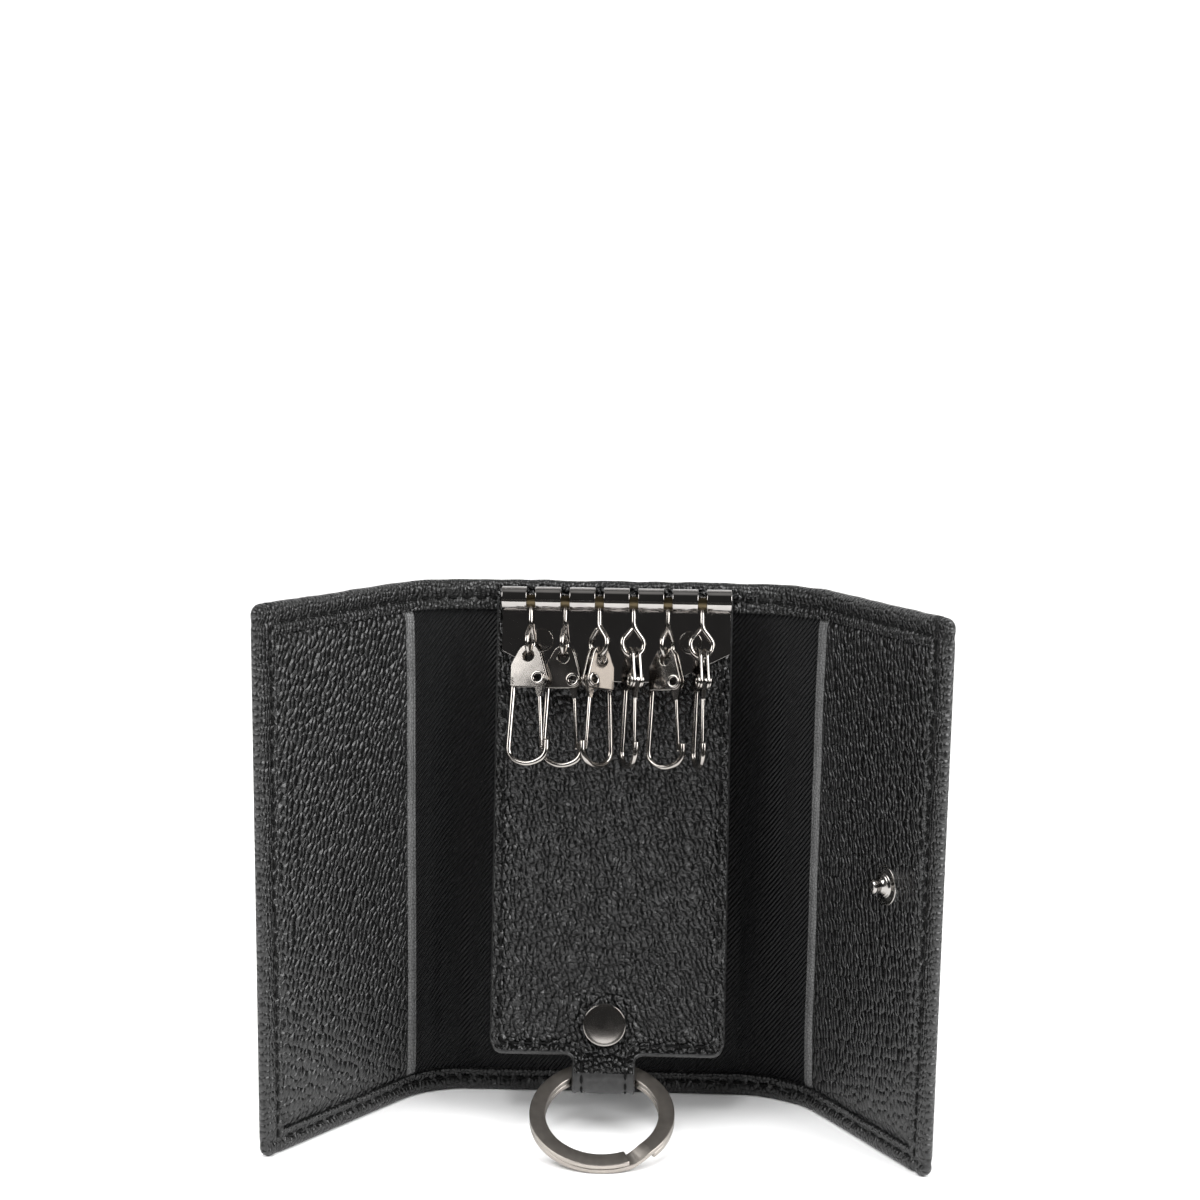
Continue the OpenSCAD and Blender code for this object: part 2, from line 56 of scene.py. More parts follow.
SIDE_NAME = {LEFT: "left", RIGHT: "right"}
FOLD = {LEFT: 55.4, RIGHT: 60.8}
DEPTH = {LEFT: 8.0, RIGHT: 8.0 + SHELL + 0.6}
LEG = {s: DEPTH[s] / 2 / cos(radians(FOLD[s] / 2)) for s in FOLD}
AXIS = {s: CASE_WIDTH / 2 - LEG[s] for s in FOLD}
WING = {s: WING_WIDTH - LEG[s] for s in FOLD}
WING_END = {s: AXIS[s] + DEPTH[s] + WING[s] for s in FOLD}
BEND = {s: min(DEPTH[s] / 2 - 0.1, 4.5) for s in FOLD}
SNAP_X, SNAP_Z = 34.0, 57.1
STUD_X, SOCKET_X = SNAP_X - LEG[RIGHT], AXIS[LEFT] + CASE_WIDTH / 2 - SNAP_X
TONGUE_W, TONGUE_L, TONGUE_T, TONGUE_R = 49.6, 98.6, 2.5, 3.0
TONGUE_SWING = 10.6
SEAM = (0.0, -0.3, 113.0)
LAYER, REAR_LAYER, PAINTED = 0.9, 0.7, 0.6
STRAP_W, STRAP_X, STRAP_BORE, STRAP_DROP, STRAP_LEATHER = 13.2, -0.6, 3.2, 4.3, 0.9
CAP_Z = 6.3 - TONGUE_L
SMOOTH_FROM = -TONGUE_L - 5.0
ROUND, CORNER = SHELL / 2, 2.2
SEWN_IN, HEM_WIDTH = 0.6, 2.2
STITCH_TOP, STITCH_BOTTOM, STITCH_SIDE = 3.8, 3.0, 3.8
STITCH_PITCH, STITCH_LENGTH, STITCH_START, STITCH_INSET = 3.0, 2.25, 0.37, 2.0
THREAD_W, CASE_THREAD_W = 0.5, 0.62
PANEL_STEP, WING_STEP, CREASE_STEP, RISE_STEP = 1.3, 1.3, 0.7, 1.5
FAR, OUTER_SHIFT = 1e3, 200


# Materials
class Graph:
    """A node tree with short ways to add to it. A value is a number or another node's output."""

    def __init__(self, tree):
        self.nodes, self.links = tree.nodes, tree.links

    def put(self, sockets, values):
        for key, value in values.items():
            if isinstance(value, bpy.types.NodeSocket):
                self.links.new(value, sockets[key])
            else:
                sockets[key].default_value = value

    def add(self, kind, inputs, **settings):
        node = self.nodes.new("ShaderNode" + kind)
        for key, value in settings.items():
            setattr(node, key, value)
        self.put(node.inputs, inputs)
        return node

    def shade(self, values):
        self.put(self.nodes["Principled BSDF"].inputs, values)

    def math(self, operation, *values):
        return self.add("Math", dict(enumerate(values)), operation=operation).outputs[0]

    def ramp(self, value, stops):
        node = self.add("ValToRGB", {0: value})
        while len(node.color_ramp.elements) < len(stops):
            node.color_ramp.elements.new(0.5)
        for element, (at, tone) in zip(node.color_ramp.elements, stops):
            element.position = at
            element.color = (*(tone if hasattr(tone, "__len__") else (tone,) * 3), 1)
        return node.outputs[0]

    def place(self):
        return self.add("TexCoord", {}).outputs["Object"]

    def grain(self):
        """Place on the piece's UV map, in millimetres."""
        return self.add("UVMap", {}, uv_map="grain").outputs[0]

    def noise(self, scale, detail, vector=None, give="Fac"):
        """Noise over the vector's plane, or without a vector through the object's space."""
        spread = "3D" if vector is None else "2D"
        inputs = {"Scale": scale, "Detail": detail, "Vector": self.place() if vector is None else vector}
        return self.add("TexNoise", inputs, noise_dimensions=spread).outputs[give]

    def scaled(self, vector, turn, scale, shift=0.0):
        """The vector turned by an angle, then scaled along its two axes."""
        turned = self.add("Mapping", {"Vector": vector, "Rotation": (0, 0, radians(turn))}).outputs[0]
        moved = {"Vector": turned, "Scale": (*scale, 1), "Location": (shift, shift * 1.7, 0)}
        return self.add("Mapping", moved).outputs[0]

    def warped(self, vector, scale, amount):
        """The vector shifted by smooth noise, so that cells and lines wander."""
        shifted = {0: self.noise(scale, 1.0, vector, "Color"), 1: (amount, amount, 0), 2: vector}
        return self.add("VectorMath", shifted, operation="MULTIPLY_ADD").outputs[0]

    def bump(self, height, distance, strength=1.0):
        inputs = {"Height": height, "Distance": distance * MM, "Strength": strength}
        return self.add("Bump", inputs).outputs[0]


def surface(name):
    m = bpy.data.materials.new(name)
    m.use_nodes = True
    return m, Graph(m.node_tree)


PEBBLE = [(0.0, 1.0), (0.25, 0.88), (0.5, 0.5), (0.75, 0.1), (0.9, 0.0)]
CREASE = [(0.0, 0.0), (0.1, 0.38), (0.22, 0.8), (0.34, 1.0)]


def leather(name, cell, stretch, depth, seed, turn=0.0, tone=0.0062, rough=0.3, even=0.3):
    """Pebbled leather: low pebbles parted by creases, in rows where it is even."""
    m, g = surface(name)
    uv = g.grain()
    wander = g.warped(g.warped(uv, 0.3, 1.2), 1.3, 0.22)

    def cells(finer, shift, feature, stops):
        vector = g.scaled(wander, turn, (1 / cell, 1 / cell / stretch), shift)
        inputs = {"Scale": finer, "Randomness": 1 - even, "Vector": vector}
        node = g.add("TexVoronoi", inputs, voronoi_dimensions="2D", feature=feature)
        return g.ramp(node.outputs["Distance"], stops)

    pebbles, creases = cells(1.0, seed, "F1", PEBBLE), cells(1.0, seed, "DISTANCE_TO_EDGE", CREASE)
    pores, broad = g.noise(5.0, 3.0, uv), g.noise(0.09, 3.0, uv)
    height = g.math("MULTIPLY_ADD", cells(2.2, seed + 5.0, "F1", PEBBLE), 0.14, pebbles)
    height = g.math("MULTIPLY_ADD", creases, 0.3, height)
    height = g.math("MULTIPLY_ADD", pores, 0.1, height)
    # The base colour is painted darker in the creases between pebbles as painted shade; broad noise patches
    # also vary the tone at random.
    colour = g.ramp(creases, [(0.0, 0.45 * tone), (0.6, 0.9 * tone), (1.0, tone)])
    patches = g.ramp(broad, [(0.3, 0.6), (0.7, 1.2)])
    crease_shade_and_patches = g.add("Mix", {}, data_type="RGBA", blend_type="MULTIPLY")
    g.put(crease_shade_and_patches.inputs, {0: 0.5, 6: colour, 7: patches})
    g.shade({"Base Color": crease_shade_and_patches.outputs[2], "Normal": g.bump(height, depth),
             "Roughness": g.ramp(pores, [(0.3, rough + 0.06), (0.7, rough)]),
             "Specular IOR Level": 0.6})
    return m


def smooth_edge():
    m, g = surface("edge_paint")
    grain = g.noise(900.0, 3.0)
    g.shade({"Base Color": g.ramp(grain, [(0.3, 0.014), (0.7, 0.028)]),
             "Normal": g.bump(grain, 0.08, 0.4), "Roughness": 0.38})
    return m


def twill():
    """Black twill: slanting ribs crossed by fine threads."""
    m, g = surface("twill_lining")
    base = g.warped(g.grain(), 0.2, 0.25)

    def ribs(turn, pitch, direction):
        inputs = {"Scale": 0.1 * pi / pitch, "Vector": g.scaled(base, turn, (1, 1))}
        return g.add("TexWave", inputs, wave_type="BANDS", bands_direction=direction).outputs["Fac"]

    slanting = ribs(38, 0.75, "X")
    height = g.math("MULTIPLY_ADD", ribs(0, 0.36, "Y"), 0.25, slanting)
    # The colour is painted darker between the slanting ribs: painted shade in the grooves.
    rib_groove_shade = [(0.2, (0.0002, 0.0002, 0.0003)), (1.0, (0.0034, 0.0034, 0.004))]
    g.shade({"Base Color": g.ramp(slanting, rib_groove_shade), "Normal": g.bump(height, 0.26), "Roughness": 0.4,
             "Specular IOR Level": 0.3, "Sheen Weight": 0.02, "Sheen Roughness": 0.4})
    return m


def thread():
    m, g = surface("thread")
    twist = g.add("TexWave", {"Scale": 900.0, "Vector": g.place()}, bands_direction="DIAGONAL")
    twist = twist.outputs["Fac"]
    # The thread's colour is painted darker in the grooves of its twist: painted shade.
    g.shade({"Base Color": g.ramp(twist, [(0.0, 0.0006), (1.0, 0.003)]), "Normal": g.bump(twist, 0.05, 0.7),
             "Roughness": 0.7, "Specular IOR Level": 0.2})
    return m


def metal(name, colour, rough, smear, bump_mm=0.004, scale=250.0):
    """Plated metal: faint smears in the gloss and a very low waviness."""
    m, g = surface(name)
    smears = g.noise(scale, 4.0)
    g.shade({"Base Color": g.ramp(smears, [(0.25, tuple(0.85 * c for c in colour)), (0.75, colour)]),
             "Roughness": g.ramp(smears, [(0.3, rough), (0.75, rough + smear)]),
             "Normal": g.bump(smears, bump_mm), "Metallic": 1.0})
    return m


def plain(name, colour, rough):
    m, g = surface(name)
    g.shade({"Base Color": (*colour, 1), "Roughness": rough})
    return m


CASE_LEATHER = leather("case_leather", 0.95, 1.5, 0.3, 3.1)
LEFT_LEATHER = leather("left_pocket_leather", 1.3, 1.6, 0.36, 11.3, turn=28, tone=0.0052, rough=0.27)
RIGHT_LEATHER = leather("right_pocket_leather", 1.15, 2.0, 0.38, 27.9, turn=-14, tone=0.0036, rough=0.27)
TONGUE_LEATHER = leather("tongue_leather", 1.08, 1.5, 0.54, 41.7, turn=-20, tone=0.0035, rough=0.22,
                         even=0.2)
# The hem's leather is painted much lighter than the pocket leather: a painted sheen standing for the light
# on its rolled face.
HEM_SHEEN_LEATHER = leather("hem_painted_sheen", 0.8, 1.0, 0.1, 5.5, tone=0.1, rough=0.38)
EDGE, TWILL, THREAD = smooth_edge(), twill(), thread()
PLATE_METAL = metal("plate_metal", (0.42, 0.4, 0.385), 0.07, 0.04)
HOOK_METAL = metal("hook_metal", (0.4, 0.375, 0.35), 0.09, 0.07)
RIVET_METAL = metal("rivet_metal", (0.42, 0.395, 0.37), 0.1, 0.06)
RING_METAL = metal("ring_metal", (0.42, 0.385, 0.35), 0.32, 0.1, bump_mm=0.006, scale=700.0)
STUD_METAL = metal("stud_metal", (0.42, 0.4, 0.38), 0.14, 0.08)
BRASS = metal("brass_drum", (0.11, 0.086, 0.05), 0.3, 0.12)


# Meshes
SHARP = radians(50)


def make(name, verts, faces, uv=None, materials=(), material_of=None, body=None, slot=None,
         stands_for=(), smooth=None):
    """An object from points in millimetres. uv has one pair a vertex, in millimetres."""
    mesh = bpy.data.meshes.new(name)
    mesh.from_pydata((np.asarray(verts, float) * MM).tolist(), [], [list(map(int, f)) for f in faces])
    if uv is not None:
        layer = mesh.uv_layers.new(name="grain")
        at = np.empty(len(mesh.loops), int)
        mesh.loops.foreach_get("vertex_index", at)
        layer.data.foreach_set("uv", np.asarray(uv, float)[at].ravel())
    for m in materials:
        mesh.materials.append(m)
    if material_of is not None:
        mesh.polygons.foreach_set("material_index", np.asarray(material_of, np.int32))
    mesh.polygons.foreach_set("use_smooth", [True] * len(mesh.polygons) if smooth is None else smooth)
    b = bmesh.new()
    b.from_mesh(mesh)
    bmesh.ops.remove_doubles(b, verts=b.verts, dist=1e-7)
    bmesh.ops.recalc_face_normals(b, faces=b.faces)
    for edge in b.edges:
        edge.smooth = edge.calc_face_angle(0) < SHARP
    b.to_mesh(mesh)
    b.free()
    o = bpy.data.objects.new(name, mesh)
    bpy.context.scene.collection.objects.link(o)
    if body:
        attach(o, body)
    if stands_for:
        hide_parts(*stands_for)
    return o


def joined(parts):
    """Several shells as one. A part may say which of its faces are smooth: else all but its caps."""
    verts, faces, smooth = np.zeros((0, 3)), [], []
    for v, f, *flags in parts:
        faces += [[len(verts) + i for i in face] for face in f]
        smooth += flags[0] if flags else [len(face) < 5 for face in f]
        verts = np.vstack([verts, v])
    return verts, faces, smooth


def with_part(piece, part, material):
    """The points, faces, UVs and materials of a piece, with a part of another material added."""
    verts, faces, uv, mats = piece
    more = np.asarray(part[0])
    faces = list(faces) + [[len(verts) + i for i in f] for f in part[1]]
    return (np.vstack([verts, more]), faces, np.vstack([uv, more[:, [0, 2]]]),
            list(mats) + [material] * len(part[1]))


def smoothstep(x, low, high):
    u = np.clip((np.asarray(x, float) - low) / (high - low), 0, 1)
    return u * u * (3 - 2 * u)


def ridge(x, width):
    """A smooth bump, 1 where x is zero."""
    return np.exp(-(x / width) ** 2)


def least(*values):
    return np.minimum.reduce(np.broadcast_arrays(*values))


def lengths_along(line):
    return np.r_[0, np.cumsum(np.linalg.norm(np.diff(line, axis=0), axis=1))]


def wave(s, z, size, seed):
    """Smooth noise over the leather, from -1 to 1, the same each run."""
    flat = [noise.noise(Vector((a / size + seed, b / size, seed * 0.37)))
            for a, b in zip(np.ravel(s), np.ravel(z))]
    return np.array(flat).reshape(np.shape(s))


def fold_map(side, s, t, z):
    """Point of the folded case: s along the inner face from the middle, t outwards, z up."""
    s, t, z = (np.asarray(a, float) for a in np.broadcast_arrays(s, t, z))
    a, d, bend = AXIS[side], DEPTH[side], BEND[side]
    th = radians(FOLD[side] / 2)
    r = bend / tan(th / 2)
    turn = th * np.clip((s - a + bend) / (2 * bend), 0, 1)
    turn = turn + th * np.clip((s - a - d + bend) / (2 * bend), 0, 1)
    c, sn = cos(th), sin(th)
    x = np.where(s < a - bend, s, a - bend + r * np.sin(turn))
    y = np.where(s < a - bend, 0, -r + r * np.cos(turn))
    mid = s > a + bend
    x, y = np.where(mid, a + (s - a) * c, x), np.where(mid, -(s - a) * sn, y)
    qx, qy = a + (d - bend) * c - r * sn, -(d - bend) * sn - r * c
    arc = s > a + d - bend
    x, y = np.where(arc, qx + r * np.sin(turn), x), np.where(arc, qy + r * np.cos(turn), y)
    wing = s > a + d + bend
    c2, s2 = cos(2 * th), sin(2 * th)
    x = np.where(wing, a + d * c + (s - a - d) * c2, x)
    y = np.where(wing, -d * sn - (s - a - d) * s2, y)
    return np.stack([side * (x + t * np.sin(turn)), y + t * np.cos(turn), z], -1)


def even(a, b, step):
    return np.linspace(a, b, max(2, round((b - a) / step) + 1))


def levels(low, high, step, near_low=(), near_high=()):
    """Values from low to high: the given distances from either end, and even steps between."""
    inner_low = low + (near_low[-1] if near_low else 0)
    inner_high = high - (near_high[-1] if near_high else 0)
    n = max(1, round((inner_high - inner_low) / step))
    mid = np.linspace(inner_low, inner_high, n + 1)
    return np.unique(np.round(np.concatenate(
        [[low + v for v in near_low], mid, [high - v for v in near_high]]), 5))


RIM = (0, 0.04, 0.16, 0.36, 0.64, 0.98, 1.35)
NEAR_SIDE = RIM + (2.0, 2.7, 3.3, 3.8, 4.3, 4.8, 5.0, 5.1, 5.25, 5.5)
NEAR_BOTTOM = RIM + (1.9, 2.5, 3.0, 3.5, 4.2, 4.8, 5.0, 5.1, 5.25, 5.5)
NEAR_TOP = RIM + (2.0, 2.7, 3.3, 3.8, 4.3, 5.0, 5.8, 6.2, 6.3, 6.45, 6.8)
Z_LEVELS = levels(0, HEIGHT, RISE_STEP, NEAR_BOTTOM, NEAR_TOP)


def shell_faces(side, s_levels, end=None):
    """Inner and outer face of the outer leather over a range of s, rounded over its edges."""
    s, z = np.meshgrid(s_levels, Z_LEVELS, indexing="ij")
    below, above = z.copy(), HEIGHT - z
    out = np.full_like(s, FAR) if end is None else end - s
    edge = least(below, above, out)
    if end is not None:
        for near, sign, base in ((below, 1, 0), (above, -1, HEIGHT)):
            p, q = (CORNER - out) / CORNER, (CORNER - near) / CORNER
            inside = (p > 0) & (q > 0)
            rr, hyp = np.maximum(p, q), np.hypot(p, q) + 1e-12
            edge = np.where(inside, CORNER * (1 - rr), edge)
            s = np.where(inside, end - CORNER + CORNER * rr * p / hyp, s)
            z = np.where(inside, base + sign * (CORNER - CORNER * rr * q / hyp), z)
    lip = np.sqrt(np.clip(ROUND ** 2 - np.clip(ROUND - edge, 0, None) ** 2, 0, None))
    inner, outer = ROUND - lip, ROUND + lip
    stitch = least(abs(above - STITCH_TOP), abs(below - STITCH_BOTTOM), abs(out - STITCH_SIDE))
    sink = ridge(stitch, 0.7) * (least(above, below + 0.6, out) < 4.9)
    window = least(above - TOP_BORDER, below - BOTTOM_BORDER, out - SIDE_BORDER)
    flat = smoothstep(edge, 0.6, 2.0)
    x = (side or RIGHT) * s
    wob = wave(x, z, 9.0, 2.3) * 0.1 + wave(x, z, 3.2, 8.7) * 0.06
    inner = inner + sink * 0.45 + flat * (window < 0) * (wob - 0.12 * (1 - sink))
    inner = inner + smoothstep(window, 0.0, 0.16) * 1.02
    outer = outer - sink * 0.2 + flat * wave(x, z, 14.0, 5.1) * 0.16
    rise = wave(x, 0 * x, 5.0, 3.9) * 0.22 * smoothstep(3.5 - above, 0, 3)
    return s, z + rise, (inner, outer)


def grid_quads(rows, cols, offset, flip=False):
    i, j = np.meshgrid(np.arange(rows - 1), np.arange(cols - 1), indexing="ij")
    a = (i * cols + j).ravel() + offset
    q = np.stack([a, a + cols, a + cols + 1, a + 1], 1)
    return (q[:, ::-1] if flip else q).tolist()


def slab(side, s, z, depths, closed_rows, closed_cols=()):
    """Points and faces of a sheet between two depths, closed along the given rows and columns."""
    rows, cols = s.shape
    n = rows * cols
    points = [(np.stack([s, t, z], -1) if side == BACK else fold_map(side, s, t, z)).reshape(-1, 3)
              for t in depths]
    rims = [(i % rows * cols + j, i % rows * cols + j + 1) for i in closed_rows for j in range(cols - 1)]
    rims += [(i * cols + j % cols, (i + 1) * cols + j % cols) for j in closed_cols for i in range(rows - 1)]
    faces = grid_quads(rows, cols, 0) + grid_quads(rows, cols, n, True)
    return np.concatenate(points), faces + [[a, b, n + b, n + a] for a, b in rims]


def grain_uv(side, s, z, shifts=(0, 0)):
    return np.concatenate([np.stack([(side or RIGHT) * s + shift, z], -1).reshape(-1, 2)
                           for shift in shifts])


def stitch_row(points, normals, width=THREAD_W):
    """Points and faces of stitches: each thread, from start to end, is bowed over the leather."""
    sides, rings = 6, 7
    u, w = np.linspace(-1, 1, rings)[:, None], 2 * pi * np.arange(sides) / sides
    swell = width / 2 * np.maximum(0.12, np.sqrt(1 - u ** 4))
    rise = 0.02 + 0.1 * np.cos(pi / 2 * u) - 0.22 * abs(u) ** 3
    wide, high = swell * np.cos(w), rise + 0.75 * swell * np.sin(w)
    thread_faces = [[k * sides + m, k * sides + (m + 1) % sides, (k + 1) * sides + (m + 1) % sides,
                     (k + 1) * sides + m] for k in range(rings - 1) for m in range(sides)]
    thread_faces += [list(range(sides))[::-1], list(range((rings - 1) * sides, rings * sides))]
    threads = []
    for (a, b), n in zip(points, normals):
        across = np.cross(b - a, n)
        across /= np.linalg.norm(across)
        bow = (a + b) / 2 + u[..., None] * (b - a) / 2 + wide[..., None] * across + high[..., None] * n
        threads.append((bow.reshape(-1, 3), thread_faces))
    return joined(threads)[:2]


def stitches_between(path_length):
    n = max(1, round(path_length / STITCH_PITCH))
    step = path_length / n
    return [(k * step + (step - STITCH_LENGTH) / 2, k * step + (step + STITCH_LENGTH) / 2)
            for k in range(n)]


def case_stitches(side, s0, s1, end=None):
    """Stitches of the turned borders on both faces between s0 and s1."""
    runs = []
    first = int(np.ceil((s0 - STITCH_START) / STITCH_PITCH)) * STITCH_PITCH + STITCH_START
    last = s1 if end is None else end - STITCH_SIDE + 0.6 - STITCH_LENGTH
    for z in (HEIGHT - STITCH_TOP, STITCH_BOTTOM):
        runs += [((a, z), (a + STITCH_LENGTH, z)) for a in np.arange(first, last, STITCH_PITCH)]
    if end is not None:
        runs += [tuple((end - STITCH_SIDE, STITCH_BOTTOM + v) for v in span)
                 for span in stitches_between(HEIGHT - STITCH_TOP - STITCH_BOTTOM)]
    points, normals = [], []
    for (sa, za), (sb, zb) in runs:
        for t, sign in ((0.34, -1), (SHELL - 0.16, 1)):
            mid = (sa + sb) / 2
            points.append((fold_map(side, sa, t, za), fold_map(side, sb, t, zb)))
            normals.append(fold_map(side, mid, t + sign, za) - fold_map(side, mid, t, za))
    return stitch_row(points, normals, CASE_THREAD_W)


def shell_piece(name, side, s_levels, end=None, **kw):
    """One stretch of the outer leather with its stitches."""
    s, z, depths = shell_faces(side, s_levels, end)
    verts, faces = slab(side, s, z, depths, (0, -1) if end is None else (0,))
    lo, hi = s_levels[0], s_levels[-1]
    runs = [(LEFT, 0, -lo), (RIGHT, 0, hi)] if side == BACK else [(side, lo, hi, end)]
    sewn = joined(case_stitches(*run) for run in runs)
    piece = verts, faces, grain_uv(side, s, z, (0, OUTER_SHIFT)), [0] * len(faces)
    verts, faces, uv, mats = with_part(piece, sewn, 1)
    return make(name, verts, faces, uv, [CASE_LEATHER, THREAD], mats, **kw)


def fold_pieces(build, side, tail, slot, node):
    """The two pieces over a side's creases. The first stands for the node."""
    word, bend, middle = SIDE_NAME[side], BEND[side], AXIS[side] + DEPTH[side] / 2
    made = []
    for k, part in enumerate(("inner", "outer")):
        crease = AXIS[side] + k * DEPTH[side]
        span = (middle, crease + bend) if k else (crease - bend, middle)
        o = build(f"{word}_{part}_fold{tail}", side, even(*span, CREASE_STEP), slot=slot,
                  stands_for=() if k else [word + node])
        start, end = (Vector(fold_map(side, crease + s, 0.9, HEIGHT / 2)) * MM for s in (-bend, bend))
        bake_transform(o)
        made.append(o)
    return made


back_s = even(-(AXIS[LEFT] - BEND[LEFT]), AXIS[RIGHT] - BEND[RIGHT], PANEL_STEP)
shell_piece("back_leather", BACK, back_s, body="case_back", slot="leather", stands_for=["back_shell"])
for side, word in SIDE_NAME.items():
    fold_pieces(shell_piece, side, "", "leather", "_spine_shell")
    shell_piece(word + "_wing_leather", side,
                levels(AXIS[side] + DEPTH[side] + BEND[side], WING_END[side], WING_STEP, (), NEAR_SIDE),
                end=WING_END[side], body=word + "_wing", slot="leather",
                stands_for=[word + "_wing_shell"])


# Lining
def lining_front(side, s, z):
    """Depth of the lining's face, with the slack folds that hang from the top seam."""
    free = smoothstep(least(HEIGHT - TOP_BORDER - z, z - BOTTOM_BORDER), 0.2, 9.0)
    a = AXIS[side]
    ripple = 0.3 * smoothstep(45 - z, 0, 30) * wave(s, z, 7.0, 5.1 + side)
    for s0, lean, width, tall in ((a - 8.5, 0.03, 2.0, 0.55), (a - 3.0, -0.02, 1.6, 0.5),
                                  (a + 3.5, 0.01, 1.8, 0.45)):
        at = s0 + lean * (HEIGHT - z) + 0.8 * wave(0 * s, z, 22.0, s0 * 0.1)
        ripple = ripple + tall * ridge(s - at, width) * (0.6 + 0.4 * wave(0 * s, z, 30.0, s0))
    return TURNED - free * np.clip(1.6 * ripple, -0.1, 1.0)


def lining_piece(name, side, s_levels, **kw):
    zs = np.linspace(BOTTOM_BORDER - SEWN_IN, HEIGHT - TOP_BORDER + SEWN_IN, 74)
    s, z = np.meshgrid(s_levels, zs, indexing="ij")
    if side == BACK:
        front = np.where(s < 0, lining_front(LEFT, -s, z), lining_front(RIGHT, s, z))
    else:
        front = lining_front(side, s, z)
    verts, faces = slab(side, s, z, (front, front + CLOTH), (0, -1), (0, -1))
    return make(name, verts, faces, grain_uv(side, s, z), [TWILL], **kw)


back_twill = lining_piece("back_twill", BACK, back_s, body="case_back", slot="twill",
                          stands_for=["back_lining"])
fold_twills = [o for side in SIDE_NAME
               for o in fold_pieces(lining_piece, side, "_twill", "twill", "_spine_lining")]


# Wing pockets
def pocket_piece(side, word):
    """The pebbled pocket leather, laid in the window of the turned borders, with a hem at its mouth."""
    mouth = AXIS[side] + DEPTH[side] + 0.7
    hem = (0.0, 0.1, 0.3, 0.48, 0.6, 0.72, 1.0, 1.4, 1.8, 2.0, 2.15, 2.3, 2.6)
    rim = (0, 0.35, 0.7, 1.2)
    ss = levels(mouth, WING_END[side] - SIDE_BORDER + 0.4, 1.2, hem, rim)
    zs = levels(BOTTOM_BORDER - 0.4, HEIGHT - TOP_BORDER + 0.4, RISE_STEP, rim, rim)
    s, z = np.meshgrid(ss, zs, indexing="ij")
    rows, cols = s.shape
    window = least(HEIGHT - TOP_BORDER - z, z - BOTTOM_BORDER, WING_END[side] - SIDE_BORDER - s)
    across = s - mouth
    front = 0.62 - 0.56 * smoothstep(window, -0.1, 1.6) - 0.3 * smoothstep(window, 0, 16.0)
    front = front - 0.14 * wave(s, z, 12.0, 9.1 + side) * smoothstep(window, 0, 3)
    roll = np.sqrt(np.clip(1 - ((across - 1.1) / 1.1) ** 2, 0, 1))
    front = front - 0.34 * roll * smoothstep(window, -0.1, 0.8)
    front = front + 0.16 * ridge(across - 2.3, 0.25) + 0.1 * ridge(across - 0.6, 0.12)
    front = np.where(across < 1e-6, 0.45, front)
    verts, faces = slab(side, s, z, (front, np.full_like(front, 0.68)), (0, -1), (0, -1))
    # The hem's faces and the mouth's closing faces take the lighter hem material, a painted sheen.
    hem_quads = int((ss[:-1] - mouth < HEM_WIDTH).sum()) * (cols - 1)
    mats = np.zeros(len(faces), int)
    mats[:hem_quads] = 1
    closing = 2 * (rows - 1) * (cols - 1)
    mats[closing:closing + cols - 1] = 1
    make(word + "_pocket_leather", verts, faces, grain_uv(side, s, z),
         [LEFT_LEATHER if side == LEFT else RIGHT_LEATHER, HEM_SHEEN_LEATHER], mats, body=word + "_wing",
         slot="pocket_leather", stands_for=[word + "_pocket", word + "_wing_lining"])


for side, word in SIDE_NAME.items():
    pocket_piece(side, word)


# Tongue
SWING = radians(TONGUE_SWING)


def tongue_map(x, y, z):
    """Point of the tongue's own frame, which hangs forward from the seam, in the case's frame."""
    x, y, z = (np.asarray(v, float) for v in np.broadcast_arrays(x, y, z))
    c, s = cos(SWING), sin(SWING)
    return np.stack([SEAM[0] + x, SEAM[1] + c * y + s * z, SEAM[2] - s * y + c * z], -1)


LOOP = (STRAP_LEATHER - TONGUE_T - 0.5 * STRAP_LEATHER, -TONGUE_L - STRAP_DROP)
LOOP_R = STRAP_BORE + STRAP_LEATHER
NECK_TOP = TONGUE_L - 1.0


def strap_path():
    """Outer face of the strap in the tongue's y and z, from the neck round the loop."""
    front, rear = (-TONGUE_T, -NECK_TOP), (-0.7, -TONGUE_L)

    def touch(p, side):
        dy, dz = p[0] - LOOP[0], p[1] - LOOP[1]
        return atan2(dz, dy) + side * acos(LOOP_R / hypot(dy, dz))

    a0, a1 = touch(front, 1), touch(rear, -1) + 2 * pi
    pts = [(-TONGUE_T, -NECK_TOP + 3.0), (-TONGUE_T, -NECK_TOP + 1.5), front]
    pts += [(LOOP[0] + LOOP_R * cos(w), LOOP[1] + LOOP_R * sin(w)) for w in np.linspace(a0, a1, 40)]
    p = np.array(pts + [rear])
    at = lengths_along(p)
    q = np.stack([np.interp(np.linspace(0, at[-1], 240), at, p[:, k]) for k in (0, 1)], 1)
    for _ in range(30):
        q[1:-1] = 0.25 * q[:-2] + 0.5 * q[1:-1] + 0.25 * q[2:]
    tangent = np.gradient(q, axis=0)
    tangent /= np.hypot(*tangent.T)[:, None]
    return np.column_stack([q, -tangent[:, 1], tangent[:, 0]]), lengths_along(q)


PATH, PATH_AT = strap_path()
PATH_START = NECK_TOP - 3.0
STRAP_END = PATH_START + PATH_AT[-1]


def leather_point(x, v, t):
    """Tongue front leather: v runs down the front and round the strap, t goes into the leather."""
    x, v, t = (np.asarray(a, float) for a in np.broadcast_arrays(x, v, t))
    at = np.clip(v - PATH_START, 0, None)
    y, z, iy, iz = (np.interp(at, PATH_AT, column) for column in PATH.T)
    flat = v <= PATH_START
    return tongue_map(x, np.where(flat, -TONGUE_T + t, y + t * iy), np.where(flat, -v, z + t * iz))


def core_point(x, v, t):
    return tongue_map(x, LAYER - TONGUE_T + t, -v)


def rear_point(x, v, t):
    return tongue_map(x, -t, -v)


